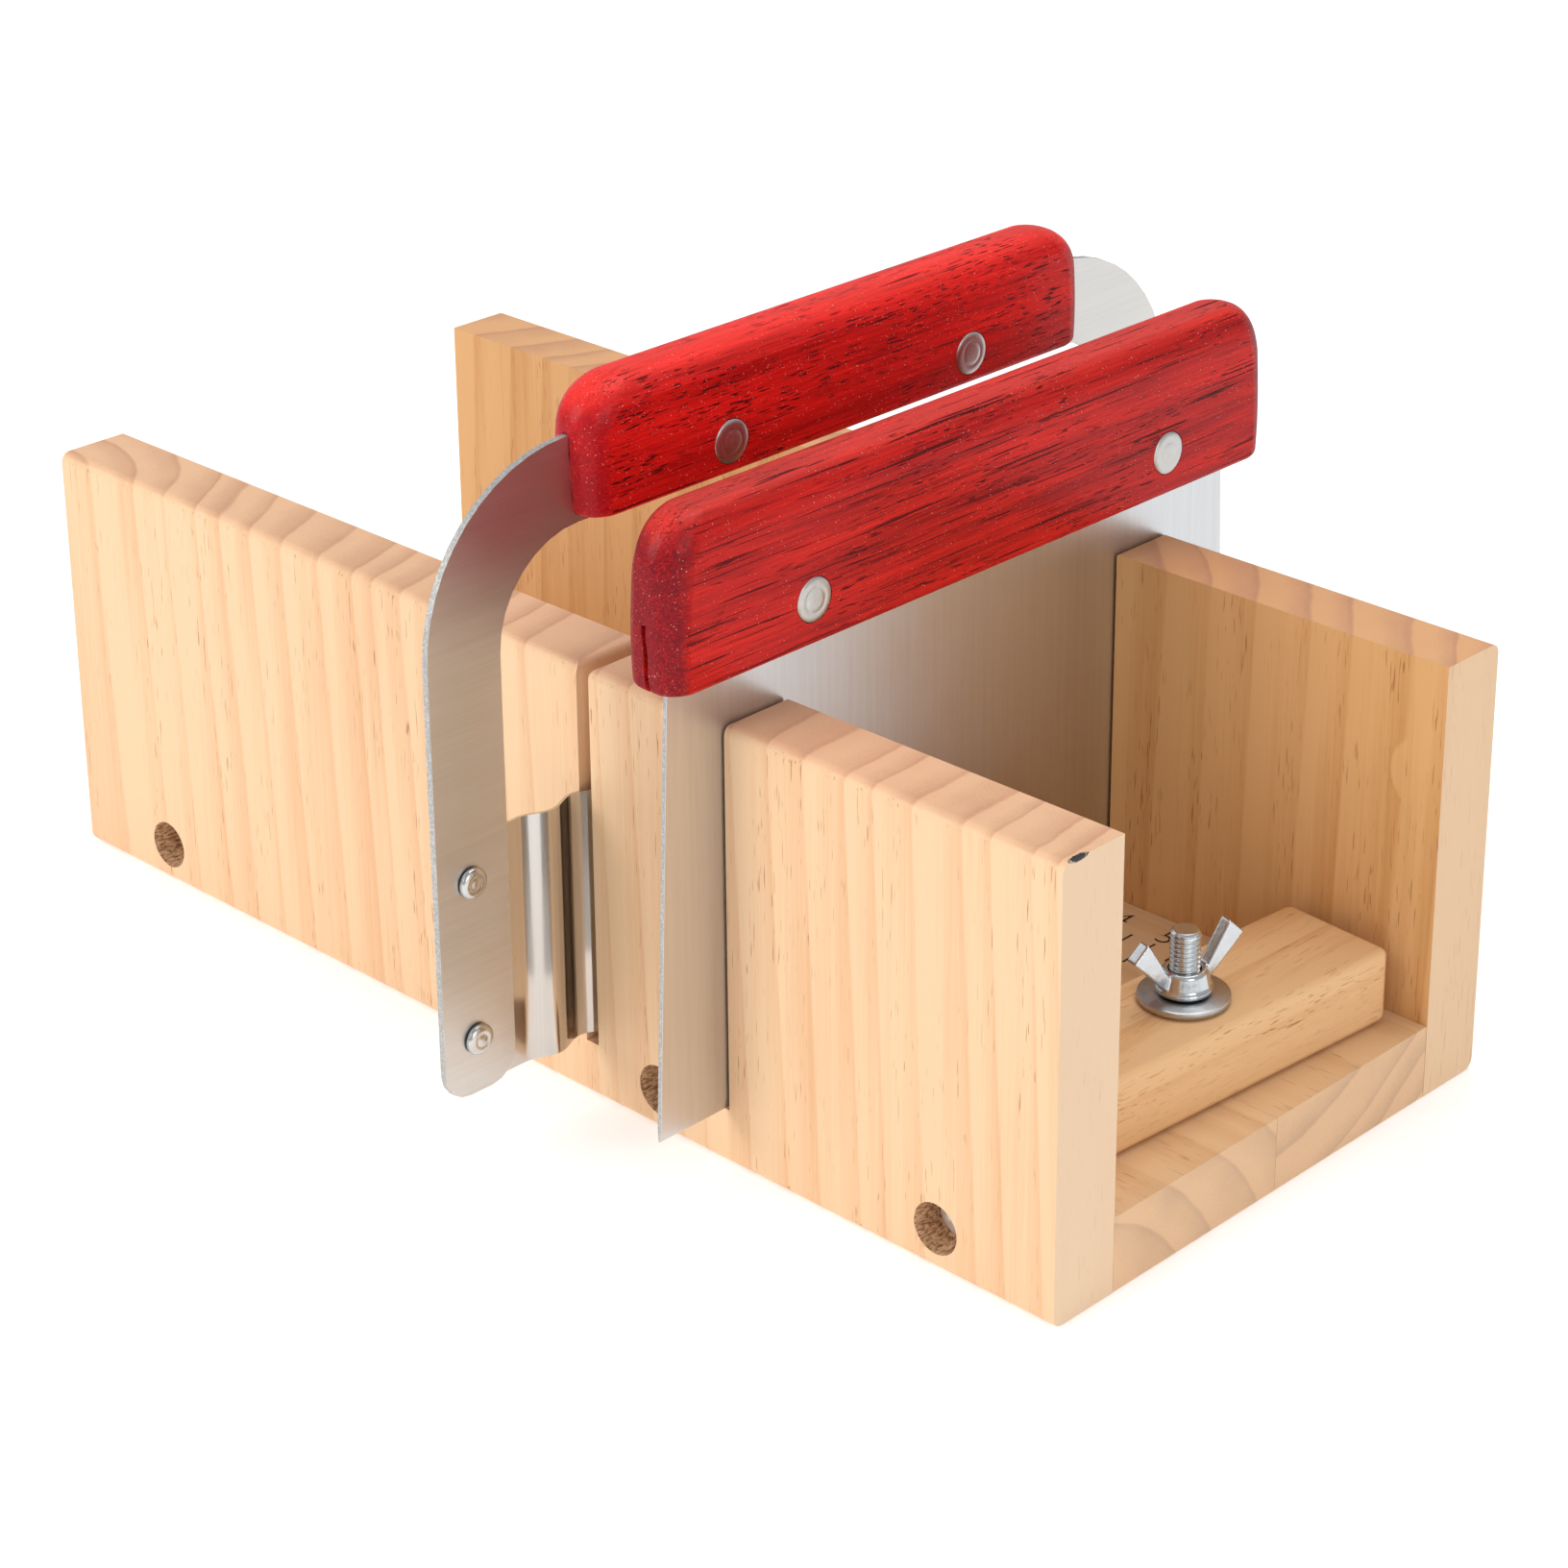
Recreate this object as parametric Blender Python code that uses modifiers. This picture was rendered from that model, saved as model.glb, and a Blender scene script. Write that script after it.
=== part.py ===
"""A loaf cutting box: two hand cutters stand in its saw kerfs and a stop block is clamped to its floor.

Metres, +Z up. +X runs along the box towards the stop. The origin is on the ground, under the middle of
the whole outline, whose widest piece is the wavy cutter's bow.
"""
import math

import bmesh
import bpy
from mathutils import Matrix, Vector

MM = 0.001

# Fits
GAP = 0.3 * MM                    # between pieces that rest on, or are glued to, each other
RIVET_GAP = 0.2 * MM              # round a rivet, and each side of a tang in its saw slit
THREAD_GAP = 0.2 * MM             # between the bolt and the nut's bore
CUT_PAST = 1.0 * MM               # how far a cut runs past what it cuts

# Box
BOX_LENGTH = 235.0 * MM
BOX_WIDTH = 106.4 * MM            # over the side boards
BOX_HEIGHT = 77.0 * MM
BOARD_THICKNESS = 13.6 * MM
FLOOR_THICKNESS = 13.1 * MM
BOX_Y = -2.0 * MM                 # the box's middle, beside the wavy cutter's
BOARD_EASING = 1.8 * MM           # rounding of the boards' long outer edges
CORNER_EASING = 0.5 * MM          # rounding of the other sawn edges

# Kerfs, sawn across the box from the top, at distances from its front end
WAVY_KERF_INSET = 99.1 * MM
WAVY_KERF_WIDTH = 2.8 * MM
STRAIGHT_KERF_INSET = 68.35 * MM
STRAIGHT_KERF_WIDTH = 1.5 * MM
KERF_IN_FLOOR = 3.1 * MM          # how deep the kerfs go into the floor

# Screws through the side boards into the floor
END_SCREW_INSET = 23.7 * MM       # from each end of the box
SCREW_HEIGHT = 7.2 * MM
COUNTERBORE_DIAMETER = 8.7 * MM
COUNTERBORE_DEPTH = 5.0 * MM
SCREW_HEAD_DIAMETER = 7.4 * MM
SCREW_RIM = 0.7 * MM              # thickness of the head above its cone
SCREW_CONE = 2.0 * MM
SCREW_DIAMETER = 3.6 * MM
SCREW_LENGTH = 28.0 * MM          # under the head's flat top
SCREW_POINT = 4.0 * MM

# Straight cutter
STRAIGHT_CUTTER_Y = -0.6 * MM
STRAIGHT_BLADE_TOP_WIDTH = 132.0 * MM
STRAIGHT_BLADE_EDGE_WIDTH = 138.6 * MM
STRAIGHT_BLADE_REACH = 76.6 * MM  # from the handle's underside to the cutting edge
STRAIGHT_BLADE_THICKNESS = 0.8 * MM
STRAIGHT_TANG = 11.2 * MM         # how far the blade goes up into the handle
EDGE_BEVEL_HEIGHT = 2.0 * MM      # ground bevel above both cutting edges
EDGE_FLAT = 0.3 * MM              # thickness left at the straight cutting edge
STRAIGHT_HANDLE_SHIFT = 1.0 * MM  # from the blade's middle to the handle's, towards +Y
STRAIGHT_HANDLE_LENGTH = 142.2 * MM
STRAIGHT_HANDLE_HEIGHT = 28.1 * MM
STRAIGHT_CROWN_HEIGHT = 6.0 * MM  # rounding of the long top edges
STRAIGHT_CROWN_DEPTH = 3.2 * MM
STRAIGHT_NOSE_HEIGHT = 10.2 * MM  # rounding of the top of each end, seen from the side
STRAIGHT_NOSE_LENGTH = 8.2 * MM
STRAIGHT_RIVET_SHIFT = 2.7 * MM   # from the blade's middle to the rivets', towards +Y
STRAIGHT_RIVET_SPACING = 84.7 * MM
STRAIGHT_RIVET_RISE = 7.6 * MM    # above the handle's underside

# Wavy cutter
BOW_WIDTH = 174.4 * MM            # over both arms
BOW_HEIGHT = 104.6 * MM
BOW_BAND = 14.6 * MM              # width of the arms and of the top bar
BOW_THICKNESS = 1.2 * MM
BOW_OUTER_RADIUS = 29.5 * MM
BOW_INNER_RADIUS = 17.0 * MM
ARM_END_RADIUS = 5.0 * MM
WAVY_BLADE_LAP = 3.6 * MM         # how far the sheet reaches past the arm rivets' middle
WAVY_BLADE_HEIGHT = 45.2 * MM
WAVY_BLADE_THICKNESS = 0.5 * MM
WAVY_BLADE_DROP = 1.7 * MM        # how far the cutting edge lies below the arms' ends
WAVE_COUNT = 12
WAVE_HEIGHT = 1.8 * MM            # from trough to crest of the sheet's middle
WAVE_TAB = 3.6 * MM               # flat sheet between each arm's inner edge and the first wave
BAND_BELOW_HANDLE = 1.1 * MM      # strip of the top bar that shows under the handle
WAVY_HANDLE_SHIFT = 0.8 * MM      # from the bow's middle to the handle's, towards +Y
WAVY_HANDLE_LENGTH = 116.2 * MM
WAVY_HANDLE_HEIGHT = 21.7 * MM
WAVY_CROWN_HEIGHT = 4.0 * MM
WAVY_CROWN_DEPTH = 4.5 * MM
WAVY_NOSE_HEIGHT = 7.8 * MM
WAVY_NOSE_LENGTH = 10.5 * MM
WAVY_RIVET_SHIFT = 1.0 * MM       # from the bow's middle to the rivets', towards +Y
WAVY_RIVET_SPACING = 56.5 * MM
WAVY_RIVET_RISE = 5.5 * MM        # above the handle's underside
ARM_RIVET_INSET = 6.8 * MM        # from the arm's outer edge
ARM_RIVET_RISE = 9.6 * MM         # lower arm rivet above the arm's end
ARM_RIVET_SPACING = 27.5 * MM

# Both handles
HANDLE_THICKNESS = 11.2 * MM
HANDLE_FOOT_RADIUS = 1.2 * MM     # edges round the underside
HANDLE_FOOT_CORNER = 3.7 * MM     # upright end edges at the underside
HANDLE_TOP_CORNER = 5.4 * MM      # the same edges where the crown starts
CORNER_GROWTH = 1.5               # power of the rise by which that radius grows
HANDLE_TAPER = 0.7 * MM           # how much each end draws in towards the underside
HANDLE_TAPER_HEIGHT = 12.0 * MM

# Handle rivets
RIVET_HEAD_DIAMETER = 7.4 * MM
RIVET_HEAD_DEPTH = 1.5 * MM       # sunk into the wood
RIVET_DOME = 0.35 * MM            # proud of the wood
RIVET_SHANK_DIAMETER = 4.2 * MM

# Arm rivets
ARM_RIVET_HEAD_DIAMETER = 5.2 * MM
ARM_RIVET_HEAD_HEIGHT = 1.1 * MM
ARM_RIVET_TAIL_DIAMETER = 4.6 * MM
ARM_RIVET_TAIL_HEIGHT = 0.9 * MM
ARM_RIVET_RIM = 0.4 * MM          # straight rim under both domes
ARM_RIVET_SHANK_DIAMETER = 3.0 * MM

# Stop
STOP_INSET = 19.3 * MM            # from the box's front end to the bolt's axis, as the stop stands
STOP_TURN = math.radians(-4.35)   # how far the block stands off square
STOP_END_PLAY = 2.6 * MM          # between each end of the block, when square, and its side board
STOP_WIDTH = 21.7 * MM
STOP_HEIGHT = 13.4 * MM
STOP_EASING = 1.3 * MM
BOLT_DIAMETER = 5.0 * MM
BOLT_LENGTH = 34.0 * MM           # from under the dome to the tip
BOLT_CHAMFER = 0.5 * MM
DOME_DIAMETER = 13.0 * MM
DOME_HEIGHT = 2.7 * MM
SQUARE_NECK = 5.5 * MM
SQUARE_NECK_HEIGHT = 3.4 * MM
SQUARE_NECK_ROOT = 0.4 * MM       # how far the neck goes into the dome
BOLT_HOLE_PLAY = 0.4 * MM         # round the bolt in the block and the washer
WASHER_DIAMETER = 15.0 * MM
WASHER_THICKNESS = 1.2 * MM
NUT_BASE_DIAMETER = 9.4 * MM
NUT_RIM = 1.3 * MM                # height of the hub's straight rim
NUT_TOP_DIAMETER = 7.4 * MM
NUT_HEIGHT = 4.0 * MM
NUT_EASING = 0.4 * MM
WING_SPAN = 21.4 * MM
WING_HEIGHT = 10.5 * MM
WING_THICKNESS = 2.4 * MM
WING_BREADTH = 3.9 * MM           # across the blunt end of each wing
WING_TURN = math.radians(76.0)    # from +X to the wings
WING_EASING = 0.4 * MM

# Slot and groove for the bolt, in the floor
SLOT_START_INSET = 88.5 * MM      # from the front end to the centre of the round end near the kerfs
SLOT_END_INSET = 14.5 * MM        # from the front end to the centre of the other round end
GROOVE_DEPTH = 5.6 * MM           # from the underside
GROOVE_PLAY = 0.75 * MM           # each side of the bolt's dome

# Facets
ROUND_STEPS = 28
SMALL_STEPS = 20
CORNER_STEPS = 4
HANDLE_CORNER_STEPS = 6
FOOT_STEPS = 2
TAPER_STEPS = 3
CROWN_STEPS = 7
DOME_STEPS = 4
WAVE_STEPS = 12

# Places worked out from the sizes
FRONT_END = BOX_LENGTH / 2
WAVY_KERF_X = FRONT_END - WAVY_KERF_INSET
STRAIGHT_KERF_X = FRONT_END - STRAIGHT_KERF_INSET
STOP_X = FRONT_END - STOP_INSET
KERF_BOTTOM = FLOOR_THICKNESS - KERF_IN_FLOOR
BLADE_BOTTOM = KERF_BOTTOM + GAP
FLOOR_WIDTH = BOX_WIDTH - 2 * BOARD_THICKNESS - 2 * GAP
STRAIGHT_HANDLE_BOTTOM = BLADE_BOTTOM + STRAIGHT_BLADE_REACH
ARM_BOTTOM = BLADE_BOTTOM + WAVY_BLADE_DROP
BOW_TOP = ARM_BOTTOM + BOW_HEIGHT
WAVY_HANDLE_BOTTOM = BOW_TOP - BOW_BAND + BAND_BELOW_HANDLE
ARM_RIVET_Y = BOW_WIDTH / 2 - ARM_RIVET_INSET
ARM_INNER = BOW_WIDTH / 2 - BOW_BAND
WAVY_BLADE_WIDTH = 2 * (ARM_RIVET_Y + WAVY_BLADE_LAP)
TROUGH_X = WAVY_KERF_X - WAVE_HEIGHT / 2
BOW_X = TROUGH_X + WAVY_BLADE_THICKNESS / 2 + GAP + BOW_THICKNESS / 2
STOP_LENGTH = BOX_WIDTH - 2 * BOARD_THICKNESS - 2 * STOP_END_PLAY
STOP_TOP = FLOOR_THICKNESS + GAP + STOP_HEIGHT
WASHER_TOP = STOP_TOP + GAP + WASHER_THICKNESS
DOME_SEAT = GROOVE_DEPTH - GAP


def clear_scene():
    for item in list(bpy.data.objects):
        bpy.data.objects.remove(item, do_unlink=True)


def new_collection(name):
    group = bpy.data.collections.new(name)
    bpy.context.scene.collection.children.link(group)
    return group


def new_material(name, colour, roughness, metallic):
    material = bpy.data.materials.new(name)
    material.use_nodes = True
    shader = material.node_tree.nodes["Principled BSDF"]
    shader.inputs["Base Color"].default_value = (*colour, 1.0)
    shader.inputs["Roughness"].default_value = roughness
    shader.inputs["Metallic"].default_value = metallic
    material.diffuse_color = (*colour, 1.0)
    return material


clear_scene()
PARTS = new_collection("loaf_cutting_box")
CUTTERS = new_collection("cutters")

PINE = new_material("pale pine", (0.78, 0.56, 0.33), 0.55, 0.0)
STOP_WOOD = new_material("tan stop wood", (0.62, 0.38, 0.18), 0.55, 0.0)
RED_WOOD = new_material("red stained wood", (0.45, 0.02, 0.02), 0.40, 0.0)
BRUSHED = new_material("brushed stainless", (0.62, 0.60, 0.57), 0.35, 1.0)
POLISHED = new_material("polished stainless", (0.70, 0.69, 0.67), 0.15, 1.0)
RIVET_METAL = new_material("rivet aluminium", (0.75, 0.73, 0.70), 0.35, 1.0)
ZINC = new_material("bright zinc", (0.66, 0.68, 0.70), 0.25, 1.0)
SCREW_STEEL = new_material("screw steel", (0.50, 0.47, 0.42), 0.40, 1.0)


def add_object(name, mesh, material=None, location=(0, 0, 0), group=None):
    item = bpy.data.objects.new(name, mesh)
    item.location = location
    (group or PARTS).objects.link(item)
    if material:
        mesh.materials.append(material)
    return item


def mesh_from(name, bm):
    bmesh.ops.recalc_face_normals(bm, faces=bm.faces)
    mesh = bpy.data.meshes.new(name)
    bm.to_mesh(mesh)
    bm.free()
    return mesh


def shade_round(item, angle=35):
    item.data.shade_smooth()
    item.data.set_sharp_from_angle(angle=math.radians(angle))


def hide_cutter(item):
    item.hide_render = True
    item.display_type = "WIRE"
    return item


def boolean(item, other, operation="DIFFERENCE"):
    change = item.modifiers.new(other.name, "BOOLEAN")
    change.operation = operation
    change.solver = "EXACT"
    change.object = other


def box_mesh(name, size, easings=()):
    """A box about its own middle; easings holds (edge test, radius, steps), rounded in that order."""
    bm = bmesh.new()
    bmesh.ops.create_cube(bm, size=1.0)
    bmesh.ops.scale(bm, vec=size, verts=bm.verts)
    for picks, radius, steps in easings:
        edges = [edge for edge in bm.edges if picks(edge)]
        bmesh.ops.bevel(bm, geom=edges, offset=radius, segments=steps, profile=0.5,
                        affect="EDGES", clamp_overlap=True)
    return mesh_from(name, bm)


def box_cutter(name, low, high):
    size = [b - a for a, b in zip(low, high)]
    middle = [(a + b) / 2 for a, b in zip(low, high)]
    return hide_cutter(add_object(name, box_mesh(name, size), None, middle, CUTTERS))


def turned(name, profile, material=None, location=(0, 0, 0), steps=ROUND_STEPS, group=None):
    """A solid of revolution about its own Z: profile holds (radius, z) from the top to the bottom."""
    mesh = bpy.data.meshes.new(name)
    points = [(radius, 0.0, z) for radius, z in profile]
    mesh.from_pydata(points, [(i, i + 1) for i in range(len(points) - 1)], [])
    item = add_object(name, mesh, material, location, group)
    spin = item.modifiers.new("turn", "SCREW")
    spin.axis = "Z"
    spin.angle = 2 * math.pi
    spin.steps = steps
    spin.render_steps = steps
    spin.use_merge_vertices = True
    spin.merge_threshold = 0.00001
    spin.use_smooth_shade = False
    return item


def arc(centre, radius, start, end, steps):
    """Points on an arc from start to end, in degrees."""
    turns = [math.radians(start + (end - start) * i / steps) for i in range(steps + 1)]
    return [(centre[0] + radius * math.cos(t), centre[1] + radius * math.sin(t)) for t in turns]


def cap(radius, rise, steps=DOME_STEPS):
    """A low dome as a turned profile: (radius, z) from its top down to its rim at z = 0."""
    ball = (radius ** 2 + rise ** 2) / (2 * rise)
    spread = math.asin(radius / ball)
    turns = [spread * i / steps for i in range(steps + 1)]
    points = [(ball * math.sin(t), rise - ball * (1 - math.cos(t))) for t in turns]
    points[-1] = (radius, 0.0)
    return points


def mirrored(profile):
    """The same profile upside down, still from the top to the bottom."""
    return [(radius, -z) for radius, z in reversed(profile)]


def raised(profile, lift):
    return [(radius, z + lift) for radius, z in profile]


def flat_mesh(name, outlines, thickness):
    """A plate from 2D outlines (the first is the rim, the others are holes), about its own middle plane."""
    curve = bpy.data.curves.new(name, "CURVE")
    curve.dimensions = "2D"
    curve.fill_mode = "BOTH"
    curve.extrude = thickness / 2
    for outline in outlines:
        spline = curve.splines.new("POLY")
        spline.points.add(len(outline) - 1)
        for point, (u, v) in zip(spline.points, outline):
            point.co = (u, v, 0.0, 1.0)
        spline.use_cyclic_u = True
    holder = bpy.data.objects.new(name + "_outline", curve)
    PARTS.objects.link(holder)
    seen = holder.evaluated_get(bpy.context.evaluated_depsgraph_get())
    raw = bpy.data.meshes.new_from_object(seen)
    bpy.data.objects.remove(holder, do_unlink=True)
    bm = bmesh.new()
    bm.from_mesh(raw)
    bpy.data.meshes.remove(raw)
    bmesh.ops.remove_doubles(bm, verts=bm.verts, dist=0.00001)
    return mesh_from(name, bm)


def rounded_ring(half_x, half_y, radius, z, steps):
    """One level of a loft: a rectangle with round corners."""
    radius = min(radius, half_x * 0.98, half_y * 0.98)
    ring = []
    for k, (sx, sy) in enumerate(((1, 1), (-1, 1), (-1, -1), (1, -1))):
        centre = (sx * (half_x - radius), sy * (half_y - radius))
        ring += [Vector((u, v, z)) for u, v in arc(centre, radius, 90 * k, 90 * k + 90, steps)]
    return ring


def lofted(name, rings):
    bm = bmesh.new()
    levels = [[bm.verts.new(point) for point in ring] for ring in rings]
    for lower, upper in zip(levels, levels[1:]):
        for i in range(len(lower)):
            j = (i + 1) % len(lower)
            bm.faces.new((lower[i], lower[j], upper[j], upper[i]))
    bm.faces.new(list(reversed(levels[0])))
    bm.faces.new(levels[-1])
    return mesh_from(name, bm)


def drawn_in(rise, height, depth):
    """How far an elliptical rounding has come in at a rise above its start."""
    share = min(max(rise / height, 0.0), 1.0)
    return depth * (1 - math.sqrt(1 - share ** 2))


def handle(name, length, height, crown, nose, location):
    """A one-piece wooden grip whose origin is the middle of its underside.

    crown and nose hold the (height, depth) of the roundings along the top and over each end.
    """
    turns = [math.pi / 2 * i / FOOT_STEPS for i in range(FOOT_STEPS + 1)]
    levels = [(HANDLE_FOOT_RADIUS * (1 - math.cos(t)), HANDLE_FOOT_RADIUS * (1 - math.sin(t))) for t in turns]
    levels += [(HANDLE_TAPER_HEIGHT * (i + 1) / TAPER_STEPS, 0.0) for i in range(TAPER_STEPS)]
    # The nose starts lower than the crown, so the levels are spaced along the taller of the two
    tall = max(crown[0], nose[0])
    turns = [math.pi / 2 * i / CROWN_STEPS for i in range(CROWN_STEPS + 1)]
    levels += [(height - tall + tall * math.sin(t), 0.0) for t in turns]
    rings = []
    for z, foot_in in levels:
        crown_in = drawn_in(z - (height - crown[0]), *crown)
        nose_in = drawn_in(z - (height - nose[0]), *nose)
        taper_in = HANDLE_TAPER * max(1 - z / HANDLE_TAPER_HEIGHT, 0.0) ** 2
        share = min(z / (height - crown[0]), 1.0)
        corner = HANDLE_FOOT_CORNER + (HANDLE_TOP_CORNER - HANDLE_FOOT_CORNER) * share ** CORNER_GROWTH
        rings.append(rounded_ring(HANDLE_THICKNESS / 2 - crown_in - foot_in,
                                  length / 2 - nose_in - taper_in - foot_in,
                                  corner, z, HANDLE_CORNER_STEPS))
    item = add_object(name, lofted(name, rings), RED_WOOD, location)
    shade_round(item)
    return item


# Box

def make_kerf_cutters():
    reach = BOX_WIDTH / 2 + CUT_PAST
    over = BOX_HEIGHT + CUT_PAST
    cutters = []
    for name, x, width in (("wavy_kerf", WAVY_KERF_X, WAVY_KERF_WIDTH),
                           ("straight_kerf", STRAIGHT_KERF_X, STRAIGHT_KERF_WIDTH)):
        low = (x - width / 2, BOX_Y - reach, KERF_BOTTOM)
        high = (x + width / 2, BOX_Y + reach, over)
        cutters.append(box_cutter(name, low, high))
    return cutters


def screw_places():
    ends = BOX_LENGTH / 2 - END_SCREW_INSET
    between_kerfs = (WAVY_KERF_X + STRAIGHT_KERF_X) / 2
    return (("rear", -ends), ("middle", between_kerfs), ("front", ends))


def screw_profile():
    rim, shank = SCREW_HEAD_DIAMETER / 2, SCREW_DIAMETER / 2
    return [(0.0, 0.0), (rim, 0.0), (rim, -SCREW_RIM), (shank, -SCREW_RIM - SCREW_CONE),
            (shank, -SCREW_LENGTH + SCREW_POINT), (0.0, -SCREW_LENGTH)]


def screw_hole_profile():
    """From outside the board: counterbore, countersink, then the shank's hole past the point."""
    rim, shank = SCREW_HEAD_DIAMETER / 2 + GAP, SCREW_DIAMETER / 2 + GAP
    seat = -COUNTERBORE_DEPTH - SCREW_RIM - GAP
    mouth = COUNTERBORE_DIAMETER / 2
    end = -COUNTERBORE_DEPTH - SCREW_LENGTH
    return [(0.0, CUT_PAST), (mouth, CUT_PAST), (mouth, -COUNTERBORE_DEPTH),
            (rim, -COUNTERBORE_DEPTH), (rim, seat), (shank, seat - SCREW_CONE),
            (shank, end), (0.0, end - CUT_PAST)]


def make_screws():
    """The screws of both sides, and for each side the cutters of their holes."""
    holes = {}
    for side, sign in (("near", -1), ("far", 1)):
        holes[side] = []
        face_y = BOX_Y + sign * BOX_WIDTH / 2
        for place, x in screw_places():
            tilt = Matrix.Rotation(-sign * math.pi / 2, 4, "X")
            screw = turned(f"{side}_screw_{place}", screw_profile(), SCREW_STEEL, steps=SMALL_STEPS)
            head_y = face_y - sign * COUNTERBORE_DEPTH
            screw.matrix_world = Matrix.Translation((x, head_y, SCREW_HEIGHT)) @ tilt
            hole = turned(f"{side}_hole_{place}", screw_hole_profile(), steps=SMALL_STEPS, group=CUTTERS)
            hole.matrix_world = Matrix.Translation((x, face_y, SCREW_HEIGHT)) @ tilt
            holes[side].append(hide_cutter(hole))
    return holes


def edge_along_x(edge):
    a, b = edge.verts
    return abs(a.co.y - b.co.y) < 1e-7 and abs(a.co.z - b.co.z) < 1e-7


def make_side_boards(kerfs, holes):
    size = (BOX_LENGTH, BOARD_THICKNESS, BOX_HEIGHT)
    for side, sign in (("near", -1), ("far", 1)):
        def outer(edge):
            return edge_along_x(edge) and all(v.co.y * sign > 0 for v in edge.verts)

        def inner(edge):
            return edge_along_x(edge) and all(v.co.y * sign < 0 for v in edge.verts)

        name = f"{side}_side_board"
        mesh = box_mesh(name, size, ((outer, BOARD_EASING, 3), (inner, CORNER_EASING, 1)))
        y = BOX_Y + sign * (BOX_WIDTH - BOARD_THICKNESS) / 2
        board = add_object(name, mesh, PINE, (0, y, BOX_HEIGHT / 2))
        for cutter in kerfs + holes[side]:
            boolean(board, cutter)


def stadium_mesh(name, half_length, radius, height):
    """A slot cutter: a straight run along X with round ends."""
    outline = arc((half_length, 0), radius, -90, 90, 10) + arc((-half_length, 0), radius, 90, 270, 10)
    return flat_mesh(name, [outline], height)


def make_slot_cutters():
    slot_radius = SQUARE_NECK / 2 + GAP
    groove_radius = DOME_DIAMETER / 2 + GROOVE_PLAY
    slot_height = FLOOR_THICKNESS + 2 * CUT_PAST
    middle_x = FRONT_END - (SLOT_START_INSET + SLOT_END_INSET) / 2
    half = (SLOT_START_INSET - SLOT_END_INSET) / 2
    slot = add_object("bolt_slot", stadium_mesh("bolt_slot", half, slot_radius, slot_height), None,
                      (middle_x, BOX_Y, FLOOR_THICKNESS / 2), CUTTERS)
    groove_height = 2 * GROOVE_DEPTH
    groove = add_object("dome_groove", stadium_mesh("dome_groove", half, groove_radius, groove_height),
                        None, (middle_x, BOX_Y, 0), CUTTERS)
    return [hide_cutter(slot), hide_cutter(groove)]


def make_floor(kerfs, holes):
    slots = make_slot_cutters()
    width = (FLOOR_WIDTH - GAP) / 2
    size = (BOX_LENGTH, width, FLOOR_THICKNESS)
    for side, sign in (("near", -1), ("far", 1)):
        name = f"floor_stave_{side}"
        y = BOX_Y + sign * (GAP + width) / 2
        stave = add_object(name, box_mesh(name, size), PINE, (0, y, FLOOR_THICKNESS / 2))
        for cutter in kerfs + slots + holes[side]:
            boolean(stave, cutter)


# Rivets

def rivet_profile(grip, shank, head, head_depth, dome):
    """A rivet through a grip: domed heads sunk into both faces. Its Z is the rivet's axis."""
    half = grip / 2
    upper = raised(cap(head, dome), half) + [(head, half - head_depth), (shank, half - head_depth)]
    return upper + mirrored(upper)


def rivet_cutter_profile(grip):
    shank, head = RIVET_SHANK_DIAMETER / 2 + RIVET_GAP, RIVET_HEAD_DIAMETER / 2 + RIVET_GAP
    top = grip / 2 + CUT_PAST
    seat = grip / 2 - RIVET_HEAD_DEPTH - RIVET_GAP
    upper = [(0.0, top), (head, top), (head, seat), (shank, seat)]
    return upper + mirrored(upper)


def drill_profile(radius, top, bottom):
    return [(0.0, top), (radius, top), (radius, bottom), (0.0, bottom)]


def handle_rivets(prefix, x, y, z, spacing):
    """Two rivets through a handle, and the cutters for the wood and the tang."""
    shank, head = RIVET_SHANK_DIAMETER / 2, RIVET_HEAD_DIAMETER / 2
    wood_cutters, tang_cutters = [], []
    for place, sign in (("near", -1), ("far", 1)):
        name = f"{prefix}_rivet_{place}"
        turn = Matrix.Translation((x, y + sign * spacing / 2, z)) @ Matrix.Rotation(math.pi / 2, 4, "Y")
        rivet = turned(name, rivet_profile(HANDLE_THICKNESS, shank, head, RIVET_HEAD_DEPTH, RIVET_DOME),
                       RIVET_METAL, steps=SMALL_STEPS)
        rivet.matrix_world = turn
        wood = turned(name + "_wood", rivet_cutter_profile(HANDLE_THICKNESS), steps=SMALL_STEPS,
                      group=CUTTERS)
        wood.matrix_world = turn
        wood_cutters.append(hide_cutter(wood))
        half = HANDLE_THICKNESS / 2
        tang = turned(name + "_tang", drill_profile(shank + RIVET_GAP, half, -half), steps=SMALL_STEPS,
                      group=CUTTERS)
        tang.matrix_world = turn
        tang_cutters.append(hide_cutter(tang))
    return wood_cutters, tang_cutters


# Straight cutter

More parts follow.
